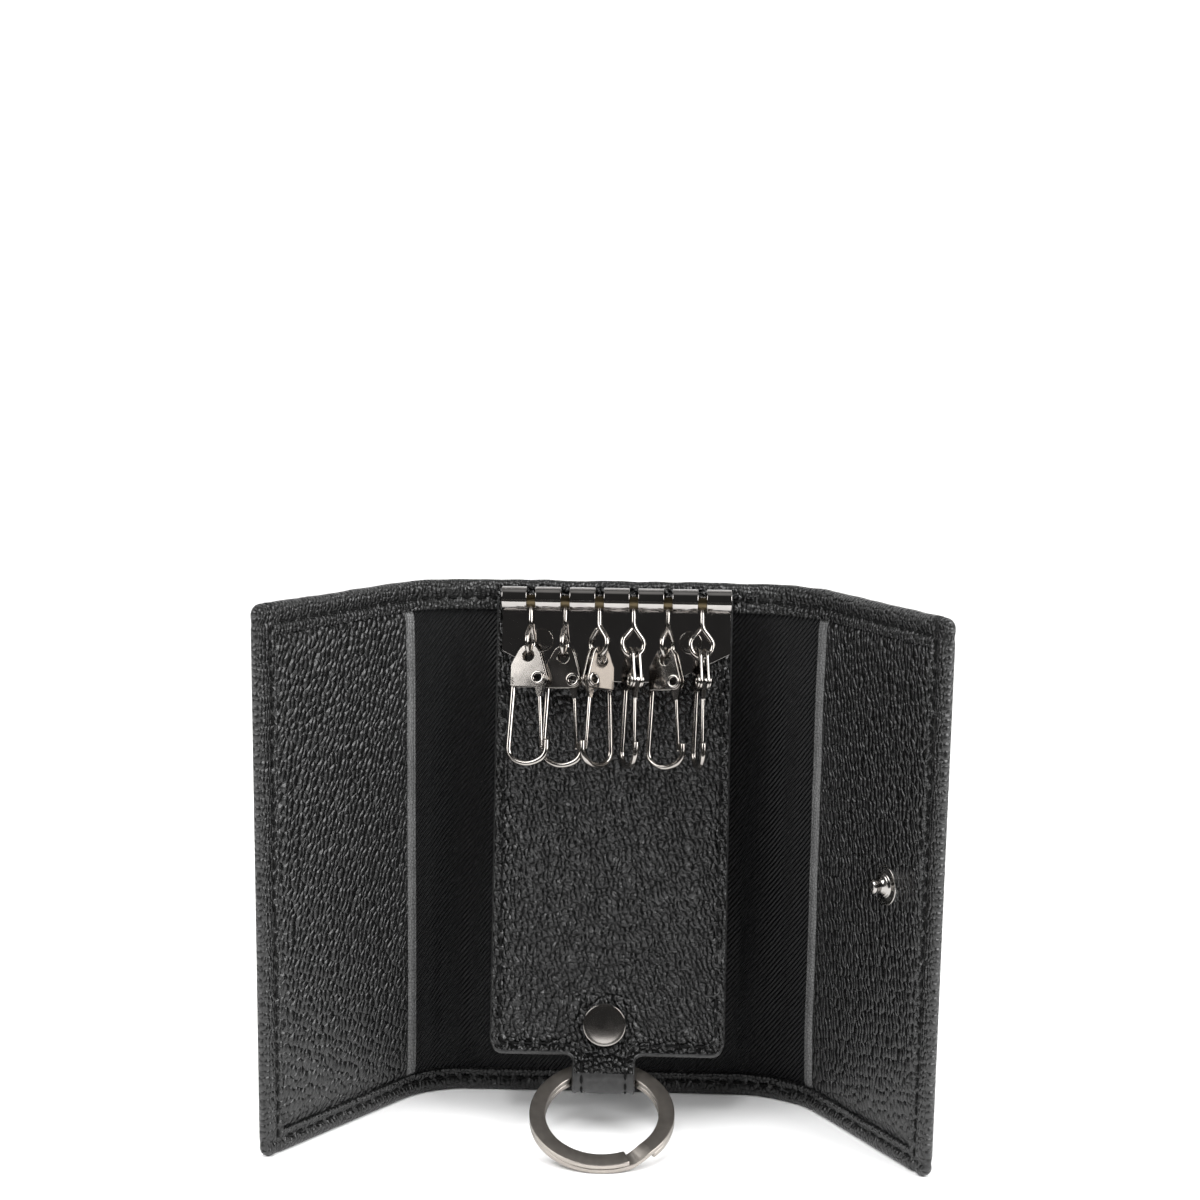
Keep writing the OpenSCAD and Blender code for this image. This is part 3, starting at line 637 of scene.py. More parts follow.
def outline(inset, strap=True, step=0.6, top=0.3):
    """Outline of the tongue in x and v, from its top left round to its top right, moved in by inset."""
    w, r = TONGUE_W / 2, TONGUE_R
    hw, rf = STRAP_W / 2, 1.6
    pts = [(-w + inset, top), (-w + inset, TONGUE_L - r)]

    def arc(cx, cv, radius, a0, a1, n=10):
        pts.extend((cx + radius * cos(a), cv + radius * sin(a)) for a in np.linspace(a0, a1, n)[1:])

    arc(r - w, TONGUE_L - r, r - inset, pi, pi / 2)
    if strap:
        xl, xr = STRAP_X - hw, STRAP_X + hw
        pts.append((xl - rf, TONGUE_L - inset))
        arc(xl - rf, TONGUE_L + rf, rf + inset, -pi / 2, 0)
        pts += [(xl + inset, STRAP_END), (xr - inset, STRAP_END), (xr - inset, TONGUE_L + rf)]
        arc(xr + rf, TONGUE_L + rf, rf + inset, pi, 3 * pi / 2)
    pts.append((w - r, TONGUE_L - inset))
    arc(w - r, TONGUE_L - r, r - inset, pi / 2, 0)
    pts.append((w - inset, top))
    p = np.array(pts)
    out = [p[0]]
    for a, b in zip(p[:-1], p[1:]):
        gap = np.hypot(*(b - a))
        if gap >= 1e-6:
            n = max(1, int(np.ceil(gap / step)))
            out.extend(a + (b - a) * k / n for k in range(1, n + 1))
    return np.array(out)


def edge_distance(points, line):
    a, b = line[:-1], line[1:]
    ab = b - a
    best = np.full(len(points), 1e9)
    for k in range(len(a)):
        u = np.clip(((points - a[k]) @ ab[k]) / (ab[k] @ ab[k]), 0, 1)
        best = np.minimum(best, np.hypot(*(points - a[k] - u[:, None] * ab[k]).T))
    return best


def fill(rim, rings, step):
    """Triangles that fill a closed outline: extra rings near the edge, then an even grid."""
    lo, hi = rim.min(0), rim.max(0)
    gx, gv = np.meshgrid(np.arange(lo[0] + step / 2, hi[0], step), np.arange(lo[1] + step / 2, hi[1], step))
    gx = gx + (np.arange(gx.shape[0]) % 2)[:, None] * step / 2
    inner = np.stack([gx.ravel(), gv.ravel()], 1)
    closed = np.vstack([rim, rim[:1]])
    limit = max(np.min(edge_distance(r[len(r) // 3:len(r) // 3 + 1], closed)) for r in rings)
    inner = inner[edge_distance(inner, closed) > limit + 0.35 * step]
    coords = [Vector(p) for p in np.vstack([rim, *rings, inner])]
    verts, _, faces, *_ = delaunay_2d_cdt(coords, [], [list(range(len(rim)))], 1, 1e-5)
    return np.array([tuple(v) for v in verts]), faces


def sheet_from_outline(rim, rings, thick, point, round_edge, step, relief=None):
    """Closed sheet with rounded rims: point(x, v, t) places it, t from 0 at the face to thick."""
    flat, tris = fill(rim, rings, step)
    d = edge_distance(flat, np.vstack([rim, rim[:1]]))
    lip = round_edge - np.sqrt(np.clip(round_edge ** 2 - np.clip(round_edge - d, 0, None) ** 2, 0, None))
    dents = 0 if relief is None else relief(flat[:, 0], flat[:, 1], d)
    front = point(flat[:, 0], flat[:, 1], lip + dents)
    back = point(flat[:, 0], flat[:, 1], thick - 0.3 * lip)
    n = len(flat)
    count = {}
    for f in tris:
        for a, b in zip(f, list(f[1:]) + [f[0]]):
            key = (min(a, b), max(a, b))
            count[key] = count.get(key, 0) + 1
    edges = [[a, b, n + b, n + a] for (a, b), c in count.items() if c == 1]
    faces = [list(f) for f in tris] + [[n + i for i in reversed(f)] for f in tris] + edges
    mats = [int(max(d[i] for i in f) < PAINTED) for f in tris] + [0] * len(tris) + [1] * len(edges)
    return np.vstack([front, back]), faces, np.vstack([flat, flat]) * (1, -1), mats


def tongue_relief(x, v, d):
    """Dents of the tongue's front: the sewn line, the cap's seat, and soft waves of the hide."""
    cap = np.hypot(x - STRAP_X, v + CAP_Z)
    free = smoothstep(v, 21.5, 27) * smoothstep(d, 0.5, 3.0)
    hide = -0.22 * free * (1 - np.exp(-(cap / 7) ** 4)) * (0.6 + wave(x, v, 11.0, 6.6))
    neck = smoothstep(v, TONGUE_L - 3, TONGUE_L + 2)
    crease = neck * 0.12 * wave(x * 3.2, v, 1.6, 8.8)
    return 0.42 * ridge(d - STITCH_INSET, 0.7) + 0.3 * ridge(cap - 5.0, 1.6) + hide * (1 - neck) + crease


def path_stitches(line, point, depth, skip=None):
    """Stitches along a line of one of the tongue's leathers."""
    at = lengths_along(line)
    points, normals = [], []
    for span in stitches_between(at[-1]):
        a, b = (np.array([np.interp(u, at, column) for column in line.T]) for u in span)
        mid = (a + b) / 2
        if skip is None or not skip(mid[1]):
            points.append((point(*a, depth), point(*b, depth)))
            normals.append(point(*mid, -1) - point(*mid, 0))
    return stitch_row(points, normals)


rings = [outline(v, step=0.8)[3:-3] for v in (0.12, 0.35, 0.7, 1.5, 2.0, 2.5)]
piece = sheet_from_outline(outline(0.0), rings, LAYER, leather_point, 0.55, 0.9, tongue_relief)
sewn = path_stitches(outline(STITCH_INSET, top=1.5), leather_point, 0.16,
                     skip=lambda v: v > STRAP_END - 4 or v < 3)
verts, faces, uv, mats = with_part(piece, sewn, 2)
mats = [1 if m == 0 and min(uv[i][1] for i in f) < SMOOTH_FROM else m for m, f in zip(mats, faces)]
make("tongue_leather_front", verts, faces, uv, [TONGUE_LEATHER, EDGE, THREAD], mats,
     body="tongue", slot="tongue_leather", stands_for=["tongue_front"])

rings = [outline(v, strap=False, step=0.8)[2:-2] for v in (0.15, 0.4)]
piece = sheet_from_outline(outline(0.03, strap=False), rings, LAYER, core_point, 0.02, 2.0)
make("tongue_filler", *piece[:3], [EDGE, EDGE], piece[3], body="tongue", slot="tongue_filler",
     stands_for=["tongue_core"])
piece = sheet_from_outline(outline(0.0, strap=False), rings, REAR_LAYER, rear_point, 0.45, 2.0)
sewn = path_stitches(outline(STITCH_INSET, strap=False, top=1.5), rear_point, 0.02)
verts, faces, uv, mats = with_part(piece, sewn, 2)
make("tongue_leather_back", verts, faces, uv, [CASE_LEATHER, EDGE, THREAD], mats, body="tongue",
     slot="tongue_leather", stands_for=["tongue_back"])


# Metal parts, from the same sizes as the CAD model's
BAR_X, BAR_LENGTH, TUBE_W, BAR_SHEET, TUBE_DROP = 0.4, 48.0, 5.0, 0.5, 2.95
HOOKS, HOOK_PITCH, SLOT = 6, 7.16, 1.8
PLATE_SIDE, PLATE_DROP, PLATE_BOTTOM = 13.9, 20.1, 23.2
RIVET_SPACING, RIVET_DROP, DOME_W, DOME_RISE = 31.2, 11.6, 4.8, 0.9
CAP_W, CAP_RISE, HEAD_RISE, PIN, CAP_PIN = 9.0, 1.5, 0.4, 1.0, 1.2
HOOK_TURN = (-14, -12, -134, -69, -30, -77)
EYE_LEAN = (10.4, 6.2, 7.6, 8.4, 5.2, 8.4)
HOOK_LIE = (0, 0, 0, 3.4, 0, 3.4)
EYE_WIRE, EYE_W, EYE_DROP, EYE_HOLE, POST_HEAD = 1.0, 5.8, 12.3, 2.6, 0.85
HOOK_H, HOOK_W, HOOK_WIRE = 25.5, 9.4, 1.2
CHEEK, CHEEK_GAP, GATE_RIVET, RIVET_SHAFT, RIVET_HEAD = 0.45, 1.0, 2.9, 0.93, 0.5
RING_W, RING_BAND, RING_THICK, COIL_GAP = 30.0, 3.3, 2.4, 0.08
STUD_FLANGE, STUD_REACH, STUD_HEAD = 8.4, 3.4, 3.0
SOCKET_W, SOCKET_RISE = 9.6, 2.3
RUN = 0.05
DRUM_R, DRUM_L, DRUM_FLAT = TUBE_W / 2 - BAR_SHEET - RUN, 1.9 * SLOT, 0.3
EYE_R, EYE_MID, EYE_PIN = (EYE_W - EYE_WIRE) / 2, EYE_DROP - EYE_W / 2, EYE_DROP - EYE_WIRE / 2
NECK_Z = EYE_MID - 1.58 * EYE_R
NECK_TURN = acos(EYE_R / (EYE_MID - NECK_Z))
HALF_STACK = CHEEK_GAP / 2 + CHEEK
HOLE_Z = EYE_WIRE / 2 + RUN + EYE_R - sqrt(EYE_R ** 2 - HALF_STACK ** 2) - EYE_HOLE / 2
CROWN_Z = HOLE_Z + EYE_HOLE / 2 + 1.1
CROWN_R = CROWN_Z - HOLE_Z
FOOT_Z = CROWN_Z - HOOK_H + HOOK_WIRE / 2
CHEEK_Z, SHOULDER_Z = CROWN_Z - 0.345 * HOOK_H, CROWN_Z - 0.17 * HOOK_H
LEG_X, HEEL_R = (HOOK_W - HOOK_WIRE) / 2, 0.4
HEEL_X = HEEL_R - 0.4 * HOOK_W
PIVOT, PIVOT_R = (0.235 * HOOK_W, HOLE_Z - 0.505 * HOOK_W), 0.17 * HOOK_W
BOW_R, TURN_R, NOSE = 0.56 * HOOK_W, 0.3 * HOOK_W, 0.14 * HOOK_W
BOW_TURN = asin((LEG_X - TURN_R) / (BOW_R - TURN_R))
BEND_Z = FOOT_Z + BOW_R - (BOW_R - TURN_R) * cos(BOW_TURN)
GATE_WIRE = 0.7 * HOOK_WIRE
GATE_TIP = (LEG_X - HOOK_WIRE / 2 - GATE_WIRE / 2 - RUN, BEND_Z + 0.04 * HOOK_W)
GATE_LUG = CHEEK_GAP - 2 * RUN


def turned_by(axis, angle):
    return Matrix.Rotation(radians(angle), 4, axis)


TONGUE_FRAME = Matrix.Translation(SEAM) @ turned_by("X", -TONGUE_SWING)


def swivel_frame(i):
    place = (BAR_X + (i - (HOOKS - 1) / 2) * HOOK_PITCH, -TONGUE_T - TUBE_W / 2, -TUBE_DROP)
    return TONGUE_FRAME @ Matrix.Translation(place) @ turned_by("X", -EYE_LEAN[i])


def eye_frame(i):
    return swivel_frame(i) @ turned_by("Z", HOOK_TURN[i] + 90)


def hook_frame(i):
    lie = turned_by("X", HOOK_LIE[i]) @ turned_by("Z", -90)
    return eye_frame(i) @ Matrix.Translation((0, 0, -EYE_PIN)) @ lie


def wing_frame(side, x, t, z, out_step):
    """Frame on a wing at x from its crease: Z points away from the leather, the way t grows by out_step."""
    s = AXIS[side] + DEPTH[side] + x
    here = Vector(fold_map(side, s, t, z))
    out = (Vector(fold_map(side, s, t + out_step, z)) - here).normalized()
    up = Vector((0, 0, 1))
    return Matrix.Translation(here) @ Matrix((up.cross(out), up, out)).transposed().to_4x4()


def fillet(points, radius, closed=False, steps=4):
    """The polyline with each corner rounded."""
    pts = [np.asarray(p, float) for p in points]
    out = []
    for k, p in enumerate(pts):
        if not closed and k in (0, len(pts) - 1):
            out.append(p)
            continue
        back, ahead = pts[k - 1] - p, pts[(k + 1) % len(pts)] - p
        lengths = np.linalg.norm(back), np.linalg.norm(ahead)
        r = min(radius, 0.48 * min(lengths))
        a, b = p + back / lengths[0] * r, p + ahead / lengths[1] * r
        out.extend((1 - u) ** 2 * a + 2 * u * (1 - u) * p + u * u * b for u in np.linspace(0, 1, steps + 1))
    return np.array(out)


def lathe(profile, closed=False, sides=56):
    """A profile of (radius, height) pairs turned about Z."""
    p = np.asarray(profile, float)
    w = np.linspace(0, 2 * pi, sides, endpoint=False)
    verts = np.stack([np.outer(p[:, 0], np.cos(w)), np.outer(p[:, 0], np.sin(w)),
                      np.repeat(p[:, 1:], sides, 1)], -1).reshape(-1, 3)
    faces = []
    for k in range(len(p) if closed else len(p) - 1):
        a, b = k * sides, (k + 1) % len(p) * sides
        faces += [[a + m, a + (m + 1) % sides, b + (m + 1) % sides, b + m] for m in range(sides)]
    return verts, faces


def sweep(points, section, side, scale=None):
    """A section carried along points. Its first axis follows side, its second stands off the path."""
    p, side = np.asarray(points, float), np.asarray(side, float)
    scale = np.ones(len(p)) if scale is None else np.asarray(scale, float)
    along = np.gradient(p, axis=0)
    off = np.cross(along, side)
    off /= np.linalg.norm(off, axis=1)[:, None]
    a, b = np.asarray(section, float).T
    n = len(a)
    grown = scale[:, None, None] * (a[None, :, None] * side + b[None, :, None] * off[:, None, :])
    verts = (p[:, None, :] + grown).reshape(-1, 3)
    faces = [[k * n + m, k * n + (m + 1) % n, (k + 1) * n + (m + 1) % n, (k + 1) * n + m]
             for k in range(len(p) - 1) for m in range(n)]
    return verts, faces + [list(range(n))[::-1], list(range((len(p) - 1) * n, len(p) * n))]


def wire(points, r, tip=None, sides=16, dome=6):
    """Round wire in the plane y = 0 with domed ends; tip is its radius at the far end."""
    p = np.asarray(points, float)
    p = np.stack([p[:, 0], 0 * p[:, 0], p[:, 1]], 1)
    tip = r if tip is None else tip
    start, end = p[0] - p[1], p[-1] - p[-2]
    start, end = start / np.linalg.norm(start), end / np.linalg.norm(end)
    w = np.linspace(0.04, pi / 2, dome, endpoint=False)
    p = np.vstack([p[0] + r * np.outer(np.cos(w), start), p, p[-1] + tip * np.outer(np.cos(w[::-1]), end)])
    far = lengths_along(p)
    scale = 1 + (tip / r - 1) * far / far[-1]
    scale[:dome] *= np.sin(w)
    scale[-dome:] *= np.sin(w[::-1])
    v = np.linspace(0, 2 * pi, sides, endpoint=False)
    return sweep(p, np.stack([r * np.cos(v), r * np.sin(v)], 1), (0, 1, 0), scale)


def arc(x, z, r, start, turn, steps=16):
    w = start + np.linspace(0, turn, steps)
    return [(x + r * cos(a), z + r * sin(a)) for a in w]


def plate(loops, low, high, bevel, steps=2):
    """Flat metal between two depths of y, from an outline and its holes in x and z, with rounded edges."""
    curve = bpy.data.curves.new("plate", "CURVE")
    curve.dimensions, curve.fill_mode = "2D", "BOTH"
    curve.extrude, curve.bevel_depth = (high - low) / 2 - bevel, bevel
    curve.bevel_resolution, curve.offset = steps, -bevel
    for loop in loops:
        spline = curve.splines.new("POLY")
        spline.points.add(len(loop) - 1)
        for p, (x, z) in zip(spline.points, loop):
            p.co = (x, z, 0, 1)
        spline.use_cyclic_u = True
    o = bpy.data.objects.new("plate", curve)
    mesh = bpy.data.meshes.new_from_object(o)
    verts = np.array([(v.co.x, (low + high) / 2 + v.co.z, v.co.y) for v in mesh.vertices])
    faces = [list(f.vertices) for f in mesh.polygons]
    depth = (high - low) / 2
    smooth = [bool(min(abs(abs(verts[v, 1] - (low + high) / 2) - depth) for v in f) > 1e-4
                   or max(abs(verts[v, 1] - verts[f[0], 1]) for v in f) > 1e-4) for f in faces]
    bpy.data.objects.remove(o)
    bpy.data.curves.remove(curve)
    bpy.data.meshes.remove(mesh)
    return verts, faces, smooth


def placed_by(frame_matrix, part):
    verts, *rest = part
    m = np.array(frame_matrix)
    return verts @ m[:3, :3].T + m[:3, 3], *rest


def metal_piece(name, parts, material, body, slot, node):
    verts, faces, smooth = joined(parts)
    return make(name, verts, faces, materials=[material], body=body, slot=slot, stands_for=[node],
                smooth=smooth)


def circle(x, z, r, steps=40):
    return arc(x, z, r, 0, 2 * pi * (1 - 1 / steps), steps)


def hull(circles, steps=24):
    """Outline around several circles (x, z, radius)."""
    cloud = np.vstack([circle(x, z, r, 4 * steps) for x, z, r in circles])
    cloud = cloud[np.lexsort((cloud[:, 1], cloud[:, 0]))]

    def chain(points):
        out = []
        for p in points:
            while len(out) > 1 and np.cross(out[-1] - out[-2], p - out[-1]) <= 0:
                out.pop()
            out.append(p)
        return out[:-1]

    return np.array(chain(cloud) + chain(cloud[::-1]))


def crown_profile(width, rise, rim, edge):
    """Half section of a domed cap: a rolled rim of the given height, and a dome inside it."""
    r = width / 2
    inner = r - edge
    lift = rise - rim
    big = (inner ** 2 + lift ** 2) / 2 / lift
    roll = fillet([(r - 0.4 * edge, 0), (r, 0.35 * rim), (r, rim), (inner, rim)], 0.4 * edge)[:-1]
    dome = [(big * sin(w), rise - big + big * cos(w)) for w in np.linspace(asin(inner / big), 0, 12)]
    return [(0, 0)] + roll.tolist() + dome


# Key bar: a plate hung from seven lengths of tube
half = BAR_LENGTH / 2
outline_points = [(-half, -TUBE_DROP), (-half, -PLATE_SIDE), (-PLATE_BOTTOM / 2, -PLATE_DROP),
                  (PLATE_BOTTOM / 2, -PLATE_DROP), (half, -PLATE_SIDE), (half, -TUBE_DROP)]
parts = [plate([[(BAR_X + x, z) for x, z in fillet(outline_points, 0.35, closed=True)]],
               -TONGUE_T - BAR_SHEET, -TONGUE_T, 0.1)]
cuts = [BAR_X + (i - (HOOKS - 1) / 2) * HOOK_PITCH for i in range(HOOKS)]
starts = [BAR_X - half] + [x + SLOT / 2 for x in cuts]
ends = [x - SLOT / 2 for x in cuts] + [BAR_X + half]
tube_frame = Matrix.Translation((0, -TONGUE_T - TUBE_W / 2, -TUBE_DROP)) @ turned_by("Y", 90)
for x0, x1 in zip(starts, ends):
    wall = [(TUBE_W / 2 - BAR_SHEET, x0), (TUBE_W / 2, x0), (TUBE_W / 2, x1), (TUBE_W / 2 - BAR_SHEET, x1)]
    parts.append(placed_by(tube_frame, lathe(fillet(wall, 0.14, closed=True), closed=True, sides=96)))
metal_piece("key_bar", [placed_by(TONGUE_FRAME, p) for p in parts], PLATE_METAL, "tongue", "gunmetal",
            "key_plate")


def on_tongue(x, y, z, profile):
    """A turned part on the tongue: it stands forward of its foot, or backward if that is on the rear."""
    stand = Matrix.Translation((x, y, z)) @ turned_by("X", -90 if y == 0 else 90)
    return placed_by(TONGUE_FRAME @ stand, lathe(profile))


def post_profile(width, rise, shaft, length):
    head = [(0, rise)] + fillet([(0.3 * width, rise), (width / 2, 0.7 * rise), (width / 2, 0), (shaft, 0)],
                                0.3 * rise).tolist()
    return head + [(shaft, -length), (0, -length)]


bar_places = [(BAR_X + s * RIVET_SPACING / 2, -RIVET_DROP) for s in (-1, 1)]
cap_place = [(STRAP_X, CAP_Z)]
front_y = -TONGUE_T - BAR_SHEET
dome = crown_profile(DOME_W, DOME_RISE, 0.72, 0.35)
dome_back = post_profile(DOME_W, HEAD_RISE, PIN, -front_y)
cap = crown_profile(CAP_W, CAP_RISE, 1.33, 0.5)
cap_back = post_profile(0.85 * CAP_W, 2 * HEAD_RISE, CAP_PIN, TONGUE_T)
for name, places, y, profile, slot, node in (
        ("bar_rivets", bar_places, front_y, dome, "gunmetal", "plate_rivets"),
        ("bar_rivet_backs", bar_places, 0, dome_back, "rivet_metal", "plate_rivet_backs"),
        ("cap", cap_place, -TONGUE_T, cap, "gunmetal", "strap_rivet_cap"),
        ("cap_post", cap_place, 0, cap_back, "rivet_metal", "strap_rivet_post")):
    metal_piece(name, [on_tongue(x, y, z, profile) for x, z in places], RIVET_METAL, "tongue", slot, node)

# Snap: stud on the right wing's inner face, socket on the left wing's outer face
f, h = STUD_FLANGE / 2, STUD_HEAD / 2
shaft = PIN + 0.3 * (h - PIN)
stud_profile = fillet([(0, 0), (f, 0), (f, 0.09 * STUD_REACH), (0.92 * f, 0.11 * STUD_REACH),
                       (0.88 * f, 0.08 * STUD_REACH), (0.6 * f, 0.1 * STUD_REACH),
                       (0.56 * f, 0.24 * STUD_REACH), (0.42 * f, 0.3 * STUD_REACH),
                       (shaft, 0.42 * STUD_REACH), (shaft, 0.62 * STUD_REACH), (h, 0.74 * STUD_REACH),
                       (h, 0.88 * STUD_REACH), (0.7 * h, STUD_REACH), (0, STUD_REACH)], 0.3)
metal_piece("stud", [placed_by(wing_frame(RIGHT, STUD_X, TURNED - 0.6, SNAP_Z, -1), lathe(stud_profile))],
            STUD_METAL, "right_wing", "gunmetal", "snap_stud")
w = SOCKET_W / 2
mouth, throat = STUD_HEAD / 2 + 2 * RUN, 0.77 * STUD_HEAD
socket_profile = fillet([(throat, 0), (w, 0), (w, 0.18 * SOCKET_RISE), (0.8 * w, 0.7 * SOCKET_RISE),
                         (0.7 * w, 0.92 * SOCKET_RISE), (0.55 * w, SOCKET_RISE),
                         (mouth, 0.85 * SOCKET_RISE), (mouth, 0.45 * SOCKET_RISE),
                         (throat, 0.45 * SOCKET_RISE)], 0.3, closed=True)
metal_piece("socket", [placed_by(wing_frame(LEFT, SOCKET_X, SHELL, SNAP_Z, 1),
                                 lathe(socket_profile, closed=True))],
            STUD_METAL, "left_wing", "gunmetal", "snap_socket")
for node in ("snap_stud_post", "snap_socket_post"):
    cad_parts[node].data.materials.clear()
    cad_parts[node].data.materials.append(STUD_METAL)


# Hooks
def eye_wire_parts():
    """Wire eye: a straight stem under a flat head, opened into a loop whose end stops beside the stem."""
    neck = (0, -NECK_Z)
    a0 = pi / 2 - NECK_TURN
    loop = arc(0, -EYE_MID, EYE_R, a0, -(2 * pi - 2 * NECK_TURN), 48)
    left = np.array(loop[-1])
    end = left + 0.72 * (np.array(neck) - left)
    stem = fillet([(0, DRUM_FLAT + 2 * RUN), (0, -NECK_Z), loop[0]], 1.1, steps=8)[:-1]
    path = np.vstack([stem, loop, [end]])
    head = fillet([(0, DRUM_FLAT + RUN), (POST_HEAD, DRUM_FLAT + RUN),
                   (POST_HEAD, DRUM_FLAT + RUN + EYE_WIRE / 2), (0, DRUM_FLAT + RUN + EYE_WIRE / 2)], 0.15)
    return [wire(path, EYE_WIRE / 2), lathe(head, sides=24)]


def drum_part():
    """Brass barrel with a flat filed along its top, lying in the tube."""
    flat = asin(DRUM_FLAT / DRUM_R)
    outline_points = arc(0, 0, DRUM_R, pi - flat, pi + 2 * flat, 40)
    verts, *rest = plate([outline_points], -DRUM_L / 2, DRUM_L / 2, 0.1)
    return verts @ np.array([[0, 1, 0], [1, 0, 0], [0, 0, 1]]), *rest


def hook_parts():
    """Two cheeks folded from one strip round the heel, and the open wire below them."""
    top, side, heel = (0, HOLE_Z), (HEEL_X, SHOULDER_Z), (HEEL_X, CHEEK_Z + HEEL_R)
    foot = (PIVOT[0], CHEEK_Z + PIVOT_R)
    rim = hull([(*top, CROWN_R), (*side, HEEL_R), (*heel, HEEL_R), (*PIVOT, PIVOT_R), (*foot, PIVOT_R)])
    cheek = [rim, circle(*top, EYE_HOLE / 2), circle(*PIVOT, RIVET_SHAFT)]
    parts = [plate(cheek, -HALF_STACK, -CHEEK_GAP / 2, 0.09), plate(cheek, CHEEK_GAP / 2, HALF_STACK, 0.09)]
    x0, x1, z0, z1 = HEEL_X - HEEL_R, HEEL_X + HEEL_R, CHEEK_Z, PIVOT[1] + HEEL_R
    parts.append(plate([fillet([(x0, z0), (x1, z0), (x1, z1), (x0, z1)], 0.3, closed=True)],
                       -HALF_STACK, HALF_STACK, 0.12))
    start = [(HEEL_X, CHEEK_Z + HOOK_WIRE / 2)]
    path = start + arc(TURN_R - LEG_X, BEND_Z, TURN_R, pi, pi / 2 - BOW_TURN)
    path += arc(0, FOOT_Z + BOW_R, BOW_R, 1.5 * pi - BOW_TURN, 2 * BOW_TURN, 24)[1:]
    path += arc(LEG_X - TURN_R, BEND_Z, TURN_R, 1.5 * pi + BOW_TURN, pi / 2 - BOW_TURN)[1:]
    path.append((LEG_X, BEND_Z + NOSE))
    return parts + [wire(path, HOOK_WIRE / 2)]


def gate_parts():
    w = GATE_WIRE / 2
    neck = (PIVOT[0] + 0.25 * w, PIVOT[1] - 2.2 * PIVOT_R)
    rim = hull([(*PIVOT, 0.85 * PIVOT_R), (*neck, 1.1 * w)])
    lug = plate([rim, circle(*PIVOT, RIVET_SHAFT + RUN)], -GATE_LUG / 2, GATE_LUG / 2, 0.1)
    return [lug, wire([(neck[0], neck[1] + w), GATE_TIP], w, 0.9 * w)]


def rivet_part():
    """Tubular rivet: a rolled lip at either end round an open bore."""
    bore, lip, high = 0.55 * GATE_RIVET / 2, GATE_RIVET / 2, HALF_STACK + RIVET_HEAD
    wall = [(bore, -high), (lip, -high), (lip, -HALF_STACK), (RIVET_SHAFT, -HALF_STACK),
            (RIVET_SHAFT, HALF_STACK), (lip, HALF_STACK), (lip, high), (bore, high)]
    part = lathe(fillet(wall, 0.3, closed=True, steps=5), closed=True, sides=40)
    return placed_by(Matrix.Translation((PIVOT[0], 0, PIVOT[1])) @ turned_by("X", 90), part)


EYE_PARTS, DRUM = eye_wire_parts(), drum_part()
HOOK_PARTS, GATE_PARTS, RIVET = hook_parts(), gate_parts(), rivet_part()
for i in range(HOOKS):
    n = i + 1
    for name, parts, place, material, body, slot, node in (
            ("drum", [DRUM], swivel_frame(i), BRASS, "swivel_body", "brass_drum", "swivel_{}"),
            ("wire_eye", EYE_PARTS, eye_frame(i), HOOK_METAL, "eye_body", "hook_metal", "eye_{}"),
            ("hook_body", HOOK_PARTS, hook_frame(i), HOOK_METAL, "hook_body", "hook_metal", "hook_{}"),
            ("hook_rivet", [RIVET], hook_frame(i), RIVET_METAL, "hook_body", "rivet_metal", "hook_{}_rivet"),
            ("hook_gate", GATE_PARTS, hook_frame(i), HOOK_METAL, "gate_body", "hook_metal", "gate_{}")):
        metal_piece(f"{name}_{n}", [placed_by(place, p) for p in parts], material, f"{body}_{n}", slot,
                    node.format(n))

# Split ring: one flat band wound twice, with a short step between the coils
ring_r, coil = RING_W / 2, (RING_THICK - COIL_GAP) / 2
seat = ring_r - 2.8
loop_y, loop_z = LOOP
loop_world = tongue_map(STRAP_X, loop_y, loop_z)
reach = ring_r + seat
slope = asin(loop_world[2] / hypot(reach, RING_THICK / 2)) - atan2(RING_THICK / 2, reach)
LOWER_END, STEP_START, STEP_END, UPPER_END = (radians(v) for v in (-43, 294, 316, 654))
near_ends = [LOWER_END + 0.006, LOWER_END + 0.018, UPPER_END - 0.018, UPPER_END - 0.006]
turns = np.unique(np.concatenate([np.linspace(LOWER_END, UPPER_END, 300),
                                  np.linspace(STEP_START, STEP_END, 12), near_ends]))
level = (smoothstep(turns, STEP_START, STEP_END) * 2 - 1) * (coil + COIL_GAP) / 2
mid = ring_r - RING_BAND / 2
b, t = RING_BAND / 2, coil / 2
band = fillet([(-t, -b), (t, -b), (t, b), (-t, b)], 0.26, closed=True)
ends = 1 - 0.16 * np.exp(-np.minimum(turns - LOWER_END, UPPER_END - turns) / 0.006)
ring_frame = Matrix.Translation(loop_world) @ Matrix.Rotation(slope, 4, "X")
ring_frame = ring_frame @ Matrix.Translation((0, -seat, 0))
coil_path = np.stack([mid * np.cos(turns), mid * np.sin(turns), level], 1)
metal_piece("ring", [placed_by(ring_frame, sweep(coil_path, band, (0, 0, 1), ends))], RING_METAL, "ring",
            "ring_metal", "split_ring")


# Stage, light and camera
def staged(name, points, faces, material, reflected_only=False):
    """A plain surface of the studio, from points in metres."""
    o = bpy.data.objects.new(name, bpy.data.meshes.new(name))
    o.data.from_pydata(points, [], faces)
    o.data.polygons.foreach_set("use_smooth", [not reflected_only] * len(faces))
    o.data.materials.append(material)
    bpy.context.scene.collection.objects.link(o)
    if reflected_only:
        o.visible_camera = o.visible_diffuse = o.visible_shadow = False


